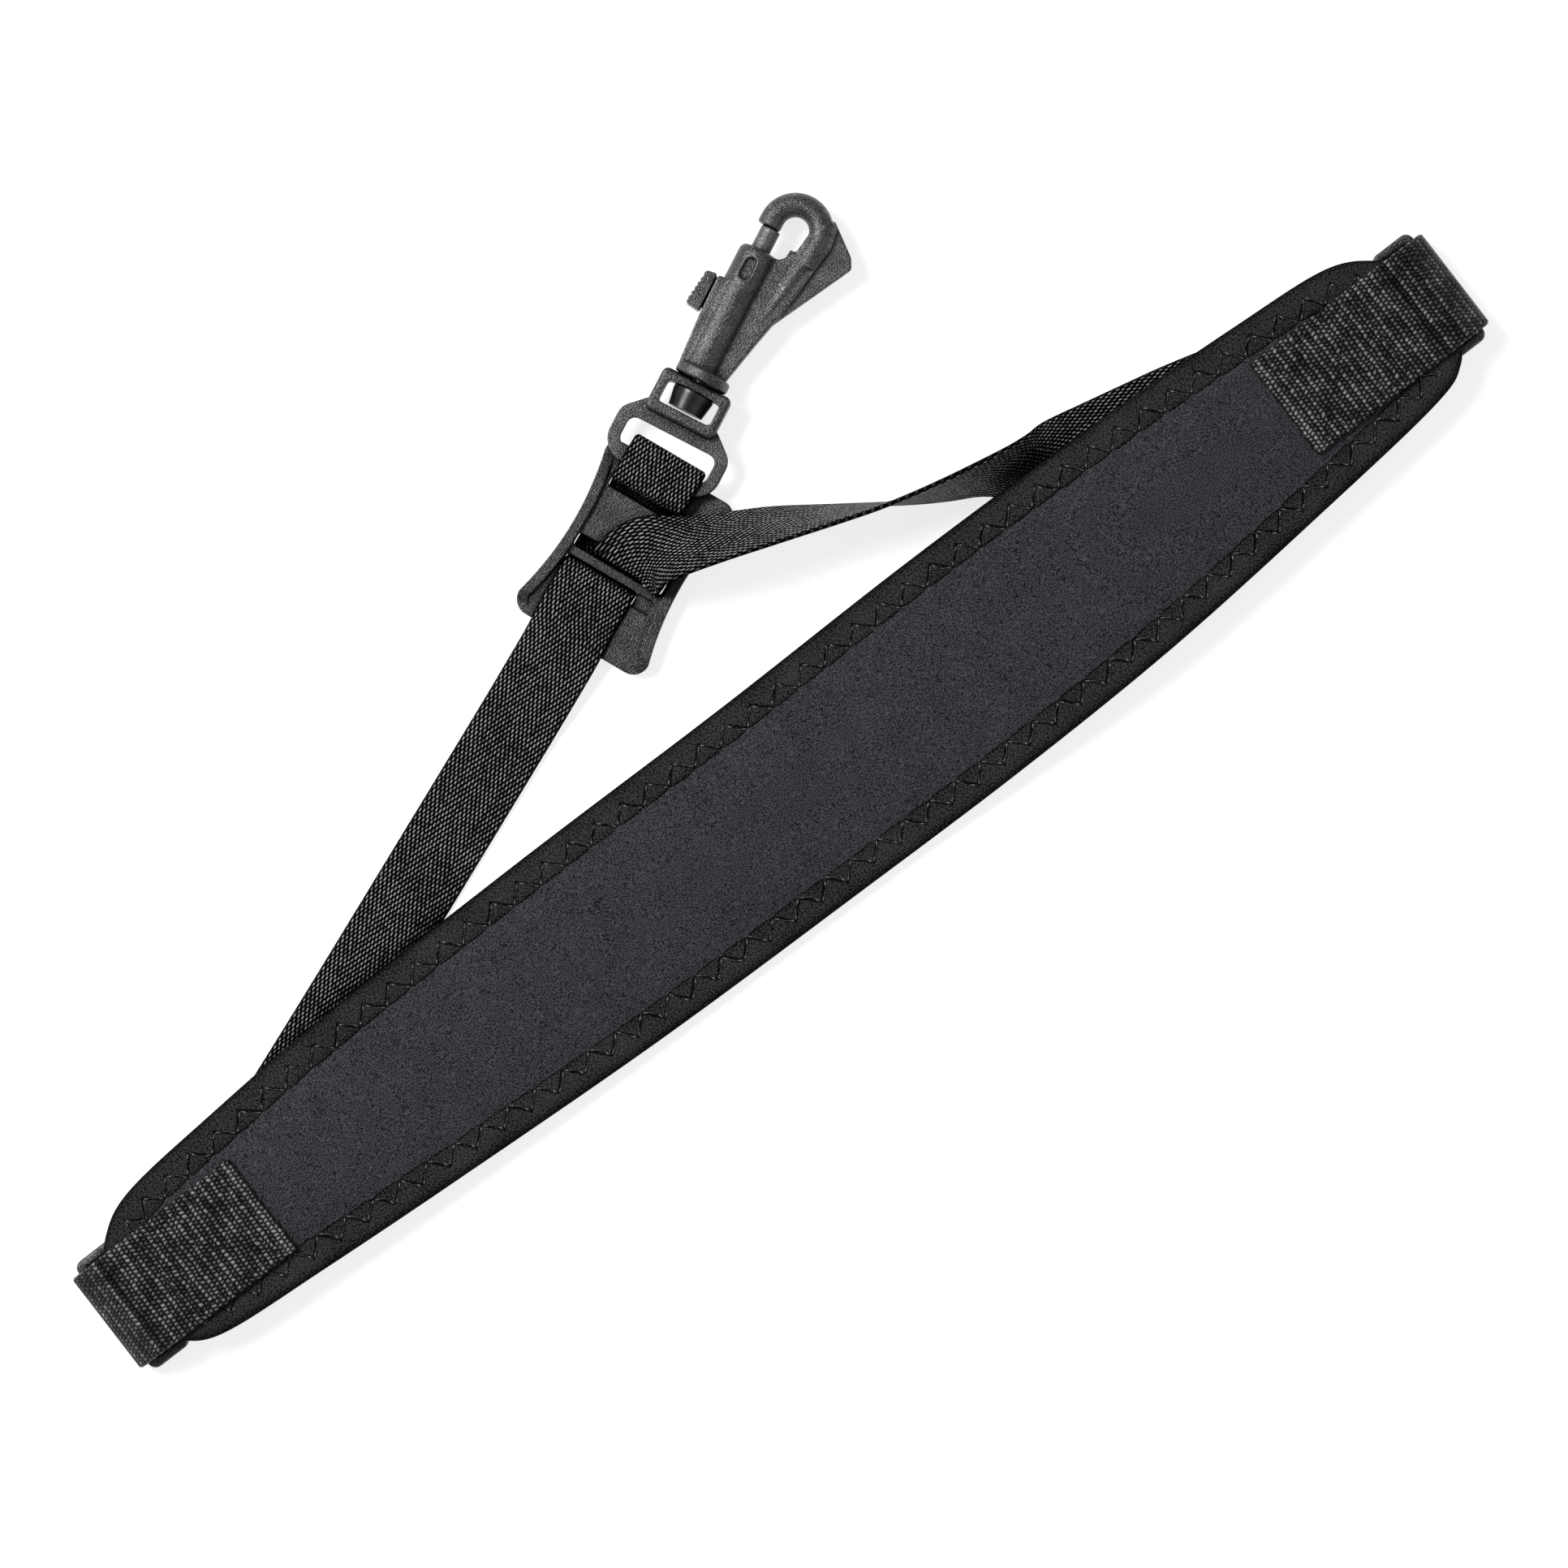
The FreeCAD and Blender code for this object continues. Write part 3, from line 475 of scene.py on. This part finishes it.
def spring_steel(piece):
    """Drawn steel wire with a dull finish."""
    tree, shader = new_material(piece, "spring_steel", 0.3, 0.5)
    shader.inputs["Metallic"].default_value = 1.0
    smudge = noise(tree, coordinates(tree), 2.0, 3)
    paint(tree, shader, smudge, [(0.3, (0.30, 0.29, 0.28)), (0.7, (0.55, 0.54, 0.52))])
    emboss(tree, shader, smudge, 0.02)


# ---- meshes ----

def mesh_object(name, vertices, faces, band=None):
    """A smooth mesh from points in millimetres. band has each point's distance across and along it."""
    mesh = bpy.data.meshes.new(name)
    mesh.from_pydata((np.asarray(vertices, float) * MM).tolist(), [], faces)
    outward(mesh)
    mesh.shade_smooth()
    if band is not None:
        layer = mesh.uv_layers.new(name="band")
        corners = np.zeros(len(mesh.loops), int)
        mesh.loops.foreach_get("vertex_index", corners)
        layer.data.foreach_set("uv", np.asarray(band, float)[corners].ravel())
    piece = bpy.data.objects.new(name, mesh)
    bpy.context.scene.collection.objects.link(piece)
    return piece


def outward(mesh):
    """Turns the mesh's faces outwards and drops the points that no face uses."""
    clean = bmesh.new()
    clean.from_mesh(mesh)
    bmesh.ops.delete(clean, geom=[v for v in clean.verts if not v.link_faces], context="VERTS")
    bmesh.ops.recalc_face_normals(clean, faces=clean.faces)
    clean.to_mesh(mesh)
    clean.free()


def grid_faces(rows, columns, first=0, ring=True):
    """Faces between the rows of a grid of points. With ring, each row closes on itself."""
    faces = []
    for row in range(rows - 1):
        start = first + row * columns
        for k in range(columns if ring else columns - 1):
            after = (k + 1) % columns
            faces.append((start + k, start + after, start + columns + after, start + columns + k))
    return faces


def unit(vectors):
    return vectors / np.linalg.norm(vectors, axis=-1, keepdims=True)


def lengths_along(points):
    """Distance of each point from the first, along the line."""
    steps = np.linalg.norm(np.diff(points, axis=0), axis=1)
    return np.concatenate([[0.0], np.cumsum(steps)])


def spline(points, resolution=16):
    """The smooth line that a list of control points makes, as points in the same units."""
    curve = bpy.data.curves.new("route", "CURVE")
    curve.dimensions = "3D"
    curve.resolution_u = resolution
    line = curve.splines.new("NURBS")
    line.points.add(len(points) - 1)
    for place, point in zip(line.points, points):
        place.co = (*point, 1)
    line.order_u = 3
    line.use_endpoint_u = True
    holder = bpy.data.objects.new("route", curve)
    mesh = bpy.data.meshes.new_from_object(holder)
    found = np.array([v.co for v in mesh.vertices], float)
    bpy.data.objects.remove(holder)
    bpy.data.curves.remove(curve)
    bpy.data.meshes.remove(mesh)
    return found


def level_across(points):
    """The level way across a band that lies flat on its route, at each point."""
    return unit(np.cross(UP, np.gradient(np.asarray(points, float), axis=0)))


def in_slider(points, w=None):
    """Points in the slider's frame, as (u, z) at one w or as (u, w, z), moved to the strap's frame."""
    moved = []
    for point in points:
        u, side, z = point if w is None else (point[0], w, point[1])
        moved.append(SLIDER_PLACE + SLIDER_ALONG * u + SLIDER_ACROSS * side + UP * z)
    return np.array(moved)


def ribbon(name, route, across, width, thickness, columns, selvedge=0.6, hem=None):
    """A woven band along a route, with rounded edges, and its middle line.

    across is the way across it at each route point. hem gives its thickness's share at a distance along it.
    """
    line = spline(route)
    edge = spline(route + across * 10)
    side = unit(edge - line)
    along = unit(np.gradient(line, axis=0))
    side = unit(side - along * np.sum(side * along, axis=1, keepdims=True))
    up = np.cross(along, side)
    distance = lengths_along(line)
    places = np.linspace(-width / 2, width / 2, columns)
    short = np.clip((np.abs(places) - (width / 2 - selvedge)) / selvedge, 0, 1)
    half = thickness / 2 * np.sqrt(1 - short ** 2)
    order = [(k, 1) for k in range(columns)] + [(k, -1) for k in range(columns - 2, 0, -1)]
    vertices = []
    band = []
    for i in range(len(line)):
        swell = 1.0 if hem is None else hem(distance[i])
        for k, face in order:
            vertices.append(line[i] + side[i] * places[k] + up[i] * (half[k] * face * swell))
            band.append((places[k], distance[i]))
    count = len(order)
    faces = grid_faces(len(line), count)
    faces.append(tuple(range(count - 1, -1, -1)))
    faces.append(tuple(range((len(line) - 1) * count, len(line) * count)))
    piece = mesh_object(name, vertices, faces, band)
    return piece, line


def tubes(name, lines, radius, sides=8):
    """Threads along several lines, as one mesh. band has the turn round the thread and the way along it."""
    vertices = []
    band = []
    faces = []
    for line in lines:
        line = np.asarray(line, float)
        along = unit(np.gradient(line, axis=0))
        side = unit(np.cross(along, UP + 1e-6))
        up = np.cross(side, along)
        distance = lengths_along(line)
        faces += grid_faces(len(line), sides, first=len(vertices))
        faces.append(tuple(len(vertices) + k for k in range(sides - 1, -1, -1)))
        last = len(vertices) + (len(line) - 1) * sides
        faces.append(tuple(last + k for k in range(sides)))
        for i in range(len(line)):
            for k in range(sides):
                turn = 2 * math.pi * k / sides
                offset = side[i] * math.cos(turn) + up[i] * math.sin(turn)
                vertices.append(line[i] + offset * radius)
                band.append((k / sides, distance[i]))
    return mesh_object(name, vertices, faces, band)


def baked(piece):
    """The piece with its modifiers applied."""
    evaluated = piece.evaluated_get(bpy.context.evaluated_depsgraph_get())
    mesh = bpy.data.meshes.new_from_object(evaluated)
    piece.modifiers.clear()
    piece.data = mesh
    return piece


def copied(node, name):
    """A copy of a CAD part as one welded mesh."""
    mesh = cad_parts[node].data.copy()
    piece = bpy.data.objects.new(name, mesh)
    bpy.context.scene.collection.objects.link(piece)
    weld = bmesh.new()
    weld.from_mesh(mesh)
    bmesh.ops.remove_doubles(weld, verts=weld.verts, dist=0.001 * MM)
    weld.to_mesh(mesh)
    weld.free()
    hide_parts(node)
    return piece


def moulded(node, name, voxel, rounds):
    """A copy of a CAD part with edges and inner corners as soft as a moulding's. voxel is in millimetres."""
    piece = copied(node, name)
    remesh = piece.modifiers.new("remesh", "REMESH")
    remesh.mode = "VOXEL"
    remesh.voxel_size = voxel * MM
    smooth = piece.modifiers.new("smooth", "SMOOTH")
    smooth.factor = 0.5
    smooth.iterations = rounds
    baked(piece)
    piece.data.shade_smooth()
    return piece


# ---- pad ----

def pad_height(x):
    """Height of the pad's underside, eased at its bends."""
    xs, zs = zip(*PAD_LINE)
    offsets = np.linspace(-PAD_LINE_EASE, PAD_LINE_EASE, 18)
    return np.mean([np.interp(np.asarray(x, float) + step, xs, zs) for step in offsets], axis=0)


def closed_curve(points, step):
    """Points at even steps along a smooth closed curve through the given ones, as X and Y."""
    given = np.array(points, float)
    before, here, after, beyond = (np.roll(given, shift, axis=0) for shift in (1, 0, -1, -2))
    shares = np.linspace(0, 1, 60, endpoint=False)[:, None]
    parts = []
    for a, b, c, d in zip(before, here, after, beyond):
        parts.append(0.5 * (
            2 * b + (c - a) * shares + (2 * a - 5 * b + 4 * c - d) * shares ** 2
            + (3 * b - 3 * c + d - a) * shares ** 3
        ))
    line = np.concatenate(parts + [parts[0][:1]])
    distance = lengths_along(line)
    count = 2 * round(distance[-1] / step / 2)
    places = np.linspace(0, distance[-1], count, endpoint=False)
    return np.column_stack([np.interp(places, distance, line[:, k]) for k in range(2)])


def inward(line):
    """The way into a closed outline at each of its points. The outline runs anticlockwise."""
    along = np.roll(line, -1, axis=0) - np.roll(line, 1, axis=0)
    return unit(np.column_stack([-along[:, 1], along[:, 0]]))


def on_pad(places, half):
    """Points at these X and Y places and at this height above the pad's middle layer."""
    heights = pad_height(places[:, 0]) + PAD_THICKNESS / 2 + half
    return np.column_stack([places, heights])


def distance_to_edge(places):
    """Distance of X and Y places from the pad's outline."""
    outline = closed_curve(PAD_OUTLINE, PANEL_STEP)
    tree = kdtree.KDTree(len(outline))
    for k, point in enumerate(outline):
        tree.insert((*point, 0), k)
    tree.balance()
    return np.array([tree.find((*place, 0))[2] for place in places])


def pad_panel():
    """The padded panel: a closed, crowned form whose edge is pulled thin under the tape."""
    outline = closed_curve(PAD_OUTLINE, PANEL_STEP)
    rim = outline + inward(outline) * 3.0
    upper = rim[rim[:, 1] >= 0]
    lower = rim[rim[:, 1] < 0]
    upper = upper[np.argsort(upper[:, 0])]
    lower = lower[np.argsort(lower[:, 0])]
    end = min(upper[-1, 0], lower[-1, 0], -upper[0, 0], -lower[0, 0]) - 0.2
    stations = end * np.sin(np.linspace(-math.pi / 2, math.pi / 2, 261))
    shares = np.sin(np.linspace(-math.pi / 2, math.pi / 2, 45)) * 0.5 + 0.5
    high = np.interp(stations, upper[:, 0], upper[:, 1])[:, None]
    low = np.interp(stations, lower[:, 0], lower[:, 1])[:, None]
    ys = low + (high - low) * shares
    xs = np.repeat(stations[:, None], len(shares), axis=1)
    places = np.column_stack([xs.ravel(), ys.ravel()])
    half = panel_half(distance_to_edge(places))
    top = on_pad(places, half)
    bottom = on_pad(places, -np.minimum(half, PAD_THICKNESS / 2 - 0.02))
    columns = len(shares)
    order = list(range(columns)) + [columns * len(stations) + k for k in range(columns - 2, 0, -1)]
    vertices = np.concatenate([top, bottom])
    faces = []
    for row in range(len(stations) - 1):
        this = [k + row * columns for k in order]
        after = [k + columns for k in this]
        for k in range(len(order)):
            nxt = (k + 1) % len(order)
            faces.append((this[k], this[nxt], after[nxt], after[k]))
    faces.append(tuple(order[::-1]))
    faces.append(tuple(k + (len(stations) - 1) * columns for k in order))
    return mesh_object("pad_panel", vertices, faces)


def panel_half(inset):
    """Half of the panel's thickness at a distance from the pad's edge."""
    under_tape = TAPE_HALF - TAPE_THICKNESS - 0.15
    rise = np.clip((inset - TAPE_WIDTH + 1.6) / 3.2, 0, 1)
    rise = rise * rise * (3 - 2 * rise)
    middle = np.clip((inset - TAPE_WIDTH) / 18.0, 0, 1)
    crown = CROWN * np.sin(middle * math.pi / 2)
    return under_tape + (PAD_THICKNESS / 2 - under_tape) * rise + crown * rise


def tape_half(inset):
    """Half of the bound edge's thickness: round at the edge, then flat."""
    share = np.clip(inset / TAPE_HALF, 0, 1)
    return TAPE_HALF * np.sqrt(1 - (1 - share) ** 2)


def pad_binding():
    """The tape folded round the pad's edge. band has the distance from the edge and along it."""
    line = closed_curve(PAD_OUTLINE, TAPE_STEP)
    normal = inward(line)
    distance = lengths_along(np.concatenate([line, line[:1]]))
    around = round(distance[-1] / (2 * STITCH_PITCH))
    phase = distance[:-1] * (around * 2 * STITCH_PITCH / distance[-1])
    insets = [8.5, 8.5, 8.3, 7.4, 6.4, 5.4, 4.4, 3.5, 2.6, 1.8, 1.1, 0.55, 0.2, 0.0]
    sunk = [TAPE_THICKNESS, 0.12, 0.0] + [0.0] * 11
    rows = []
    band = []
    for face in (1, -1):
        chosen = range(len(insets)) if face > 0 else range(len(insets) - 2, -1, -1)
        for k in chosen:
            inset = insets[k]
            pull = stitch_pull(inset, phase)
            half = tape_half(inset) - sunk[k] - pull
            if face < 0:
                half = np.minimum(half, PAD_THICKNESS / 2 - 0.02)
            rows.append(on_pad(line + normal * inset, half * face))
            band.append(np.column_stack([np.full(len(line), inset), phase]))
    count = len(line)
    vertices = np.concatenate(rows)
    faces = grid_faces(len(rows), count)
    return mesh_object("pad_binding", vertices, faces, np.concatenate(band))


def stitch_pull(inset, phase):
    """How far the zigzag pulls the tape in at a place on it."""
    pull = 0.0
    for row, depth in enumerate(STITCH_INSETS):
        away = np.mod(phase + STITCH_PITCH * (1 - row), 2 * STITCH_PITCH) - STITCH_PITCH
        pull = pull + 0.22 * np.exp(-((away / 1.2) ** 2) - ((inset - depth) / 1.3) ** 2)
    return pull


def binding_thread(name, face):
    """The zigzag on one face of the pad. Each leg comes out of one needle hole and goes into the next."""
    line = closed_curve(PAD_OUTLINE, TAPE_STEP)
    normal = inward(line)
    closed = np.concatenate([line, line[:1]])
    distance = lengths_along(closed)
    count = 2 * round(distance[-1] / (2 * STITCH_PITCH))
    uneven = np.random.default_rng(5 + face)
    points = []
    for k in range(count):
        place = distance[-1] * k / count
        here = [np.interp(place, distance, closed[:, axis]) for axis in range(2)]
        way = [np.interp(place, distance, np.append(normal[:, axis], normal[0, axis])) for axis in range(2)]
        inset = STITCH_INSETS[k % 2] + uneven.uniform(-0.35, 0.35)
        points.append(np.array(here) + np.array(way) * inset)
    lines = []
    for k, start in enumerate(points):
        end = points[(k + 1) % count]
        bow = np.array([-(end - start)[1], (end - start)[0]]) * uneven.uniform(-0.10, 0.16)
        bow = bow if k % 2 else -bow
        leg = []
        for share, lift in LEG_SHAPE:
            place = start + (end - start) * share + bow * math.sin(math.pi * share) ** 2
            leg.append(on_pad(place[None, :], face * (TAPE_HALF + lift))[0])
        lines.append(leg)
    return tubes(name, lines, THREAD_RADIUS, 6)


# ---- tabs, end rings and straps ----

def elastic_tab(name, end):
    """A tab's elastic: raised hem, flat on the pad, over its end and round the ring's bar."""
    side = end["side"]
    top = PAD_THICKNESS + CROWN + TAB_THICKNESS / 2 + 0.05
    under = TAB_THICKNESS / 2 + 0.05
    fold = end["bar"] + TAB_BEND
    low = RING_HEIGHT - TAB_BEND
    hem = end["hem"]
    profile = [
        (hem, pad_height(side * hem) + top), (hem + 12, pad_height(side * (hem + 12)) + top),
        (186, pad_height(side * 186) + top), (197.5, pad_height(side * 197) + top - 0.1),
        (203.0, pad_height(side * 203) + top - 0.6), (207.5, 10.6), (fold + 0.1, 7.6), (fold + 0.2, 3.4),
        (fold - 0.2, low), (fold - 3.6, low), (end["bar"] - 8.0, pad_height(side * 200) - under),
        (186, pad_height(side * 186) - under), (165.0, pad_height(side * 165) - under),
    ]
    route = np.array([(side * x, end["tab_y"], z) for x, z in profile], float)
    across = np.tile([0.0, 1.0, 0.0], (len(route), 1))

    def hem_swell(distance):
        return HEM_SWELL if distance < HEM_WIDTH else 1.0

    piece, _ = ribbon(name, route, across, TAB_WIDTH, TAB_THICKNESS, 57, 0.5, hem_swell)
    ribbed_elastic(piece)
    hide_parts(name.replace("elastic_", ""))
    return piece


def tab_thread(name, end):
    """The sewn box and diagonal, as separate short stitches."""
    side = end["side"]
    start = end["hem"] + BOX_START
    stop = start + BOX_LENGTH
    reach = TAB_WIDTH / 2 - BOX_MARGIN
    corners = [(start, -reach), (start, reach), (stop, reach), (stop, -reach), (start, -reach), (stop, reach)]
    top = PAD_THICKNESS + CROWN + TAB_THICKNESS + 0.1
    lines = []
    for a, b in zip(corners, corners[1:]):
        a, b = np.array(a), np.array(b)
        count = round(np.linalg.norm(b - a) / BOX_STITCH)
        for k in range(count):
            leg = []
            for share, lift in BOX_LEG_SHAPE:
                x, y = a + (b - a) * ((k + share) / count)
                leg.append((side * x, end["tab_y"] + y, pad_height(side * x) + top + lift))
            lines.append(leg)
    piece = tubes(name, lines, THREAD_RADIUS, 6)
    twisted_thread(piece, 0.2)
    return piece


def sewn_end(name, end):
    """A strap's end: a tail on top, then round the end ring's inner bar and along the table."""
    inward_sign = -end["side"]
    bar = (end["bar"] - RING_SPAN) * end["side"]
    top = RING_HEIGHT + TAB_BEND
    profile = [
        (19.0, UPPER_LAYER), (12.0, UPPER_LAYER), (6.5, UPPER_LAYER), (3.2, top), (-1.4, top + 0.1),
        (-2.1, 3.0), (-1.7, FLOOR_LAYER), (2.5, FLOOR_LAYER), (9.0, FLOOR_LAYER), (15.7, FLOOR_LAYER),
    ]
    route = [(bar + inward_sign * s, end["strap_y"], z) for s, z in profile]
    run = LEFT_ROUTE[:2] if end["side"] < 0 else RIGHT_ROUTE[:-3:-1]
    first, second = (np.array(point[:3]) / MM for point in run)
    route[-1] = tuple(first)
    route.append(tuple(first + unit(second - first) * 1.5))
    across = np.tile([0.0, 1.0, 0.0], (len(route), 1))
    piece, _ = ribbon(name, np.array(route), across, WEBBING_WIDTH, WEBBING, 33)
    herringbone(piece)
    return piece


def bar_tack(name, end):
    """Three close zigzags that sew a strap's end to itself."""
    side = end["side"]
    start = end["bar"] - RING_SPAN - TACK_START
    top = UPPER_LAYER + WEBBING / 2 + 0.15
    lines = []
    for step in TACK_ROWS:
        x = side * (start + step)
        line = []
        for k in range(TACK_LEGS + 1):
            wave = 0.5 if k % 2 else -0.5
            line.append((x + wave, end["strap_y"] - TACK_WIDTH / 2 + TACK_WIDTH * k / TACK_LEGS, top))
        lines.append(line)
    piece = tubes(name, lines, THREAD_RADIUS, 6)
    twisted_thread(piece)
    return piece


def strap_left():
    """The strap from the left end ring, over the slider's edge and down its lower slot."""
    flat = np.array(LEFT_ROUTE) / MM
    dive = in_slider([
        (-14, PLATE_LAYER), (-7, PLATE_LAYER), (-2.8, PLATE_LAYER), (-1.2, 3.6),
        (-1.0, FLOOR_LAYER), (3.5, FLOOR_LAYER), (8.1, FLOOR_LAYER),
    ], LOOP_W)
    route = np.concatenate([flat, dive])
    across = np.concatenate([level_across(flat), np.tile(SLIDER_ACROSS, (len(dive), 1))])
    piece, line = ribbon("strap_left_run", route, across, WEBBING_WIDTH, WEBBING, 33)
    herringbone(piece)
    return piece, line


def strap_right():
    """The strap from the slider's upper slot, half turned over, to the right end ring."""
    rise = in_slider([
        (7.1, UPPER_LAYER), (4.6, UPPER_LAYER), (3.4, 3.0), (3.4, PLATE_LAYER + 0.6),
    ], RIGHT_W)
    free = np.array([p[:3] for p in RIGHT_ROUTE]) / MM
    tilts = np.radians([p[3] for p in RIGHT_ROUTE])
    route = np.concatenate([rise, free])
    along = unit(np.gradient(route, axis=0))[len(rise):]
    level = unit(np.cross(UP, along))
    level[0] = unit(level[0] + SLIDER_ACROSS)
    raised = np.cross(along, level)
    across = level * np.cos(tilts)[:, None] + raised * np.sin(tilts)[:, None]
    across = np.concatenate([np.tile(SLIDER_ACROSS, (len(rise), 1)), across])
    piece, line = ribbon("strap_right_run", route, across, WEBBING_WIDTH, WEBBING, 33)
    herringbone(piece)
    return piece, line


def hook_loop():
    """The webbing under the slider, out through its top slot, round the swivel's bar and back."""
    points = [
        (8.1, LOOP_W, FLOOR_LAYER), (14, LOOP_W, FLOOR_LAYER), (19.5, LOOP_W, FLOOR_LAYER),
        (23.4, LOOP_W, 0.8), (23.4, LOOP_W, 4.9), (27.0, LOOP_W, PLATE_LAYER), (32.9, LOOP_W, 5.1),
        (33.2, LOOP_W, 9.2), (26.5, LOOP_W, 9.0), (21.6, LOOP_W, 8.8), (21.4, LOOP_W, 2.4),
        (18.0, 2.6, UPPER_LAYER), (14.5, 1.6, UPPER_LAYER), (10.5, -1.2, UPPER_LAYER),
        (7.1, RIGHT_W, UPPER_LAYER),
    ]
    route = in_slider(points)
    across = np.tile(SLIDER_ACROSS, (len(route), 1))
    piece, _ = ribbon("hook_loop", route, across, WEBBING_WIDTH, WEBBING, 33)
    herringbone(piece)
    return piece


def inflate(piece, seam=9.0, cap=0.6):
    """Fills the panel with a cloth simulation: it swells between its seams, by at most cap millimetres."""
    remesh = piece.modifiers.new("remesh", "REMESH")
    remesh.mode = "VOXEL"
    remesh.voxel_size = 2.0 * MM
    baked(piece)
    mesh = piece.data
    before = np.array([v.co for v in mesh.vertices], float)
    inset = distance_to_edge(before[:, :2] / MM)
    held = piece.vertex_groups.new(name="held")
    for index in np.flatnonzero(inset < seam):
        held.add([int(index)], 1.0, "REPLACE")
    cloth = piece.modifiers.new("cloth", "CLOTH")
    cloth.settings.use_pressure = True
    cloth.settings.uniform_pressure_force = 4
    cloth.settings.effector_weights.gravity = 0
    cloth.settings.vertex_group_mass = "held"
    cloth.point_cache.frame_end = 20
    for step in range(1, 21):
        bpy.context.scene.frame_set(step)
    evaluated = piece.evaluated_get(bpy.context.evaluated_depsgraph_get())
    swollen = np.array([v.co for v in evaluated.data.vertices], float)
    piece.modifiers.clear()
    bpy.context.scene.frame_set(1)
    moved = swollen - before
    size = np.linalg.norm(moved, axis=1, keepdims=True) + 1e-12
    after = before + moved / size * np.minimum(size, cap * MM)
    after[:, 2] = np.maximum(after[:, 2], (pad_height(after[:, 0] / MM) + 0.02) * MM)
    mesh.vertices.foreach_set("co", after.ravel())
    refine = piece.modifiers.new("refine", "SUBSURF")
    refine.levels = refine.render_levels = 1
    baked(piece)
    piece.data.shade_smooth()


# ---- putting it together ----

add_camera()
add_world()
add_area_light("key", (-0.35, 0.8, 1.1), 0.5, 25)
add_area_light("fill", (0.6, -0.9, 1.0), 1.2, 3.5)
add_floor()

left_strap, left_line = strap_left()
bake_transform(left_strap)
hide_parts("strap_left")
left_end = sewn_end("strap_left_end", ENDS["left"])
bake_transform(left_end)
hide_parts("strap_left")

right_strap, right_line = strap_right()
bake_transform(right_strap)
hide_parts("strap_right")
right_end = sewn_end("strap_right_end", ENDS["right"])
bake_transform(right_end)
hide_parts("strap_right")

loop = hook_loop()
loop_start, loop_end = (in_slider([(u, FLOOR_LAYER)], LOOP_W)[0] * MM for u in (9, 31))
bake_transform(loop)
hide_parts("strap_hook_loop")
left_line[0] * MM
left_line * MM
right_line[0] * MM
right_line * MM

panel = pad_panel()
inflate(panel)
jersey(panel)
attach(panel, "neck_pad")
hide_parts("pad_foam_core", "pad_front_cover", "pad_back_cover")
binding = pad_binding()
tape_cloth(binding)
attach(binding, "neck_pad")
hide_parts("edge_binding")
for face, sign in (("front", 1), ("back", -1)):
    zigzag = binding_thread("binding_thread_" + face, sign)
    twisted_thread(zigzag)
    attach(zigzag, "neck_pad")
    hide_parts("binding_stitch_" + face)

for name, end in ENDS.items():
    tab = elastic_tab("elastic_tab_" + name, end)
    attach(tab, "neck_pad")
    box_thread = tab_thread("tab_thread_" + name, end)
    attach(box_thread, "neck_pad")
    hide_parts("tab_stitch_" + name)
    tack = bar_tack("bar_tack_" + name, end)
    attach(tack, "neck_pad")
    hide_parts("strap_stitch_" + name)

# Part, piece, body, voxel in millimetres, rounds of smoothing and the material's lightness
MOULDINGS = [
    ("slider_plate", "slider_moulding", "slider", 0.2, 1, 0.36),
    ("swivel_ring", "swivel_moulding", "swivel", 0.25, 5, 0.75),
    ("hook_body", "hook_moulding", "hook", 0.28, 6, 1.0),
    ("thumb_slide", "thumb_moulding", "gate", 0.12, 1, 1.0),
    ("end_ring_left", "ring_moulding_left", "left_ring", 0.25, 4, 0.8),
    ("end_ring_right", "ring_moulding_right", "right_ring", 0.25, 4, 0.8),
]
for node, name, body, voxel, rounds, light in MOULDINGS:
    moulding = moulded(node, name, voxel, rounds)
    moulded_plastic(moulding, name + "_plastic", light)
    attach(moulding, body)

moulded_plastic(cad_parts["gate_bolt"], "bolt_plastic")
glossy_plastic(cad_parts["swivel_stud"])
coil = copied("gate_spring", "spring_coil")
spring_steel(coil)
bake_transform(coil)
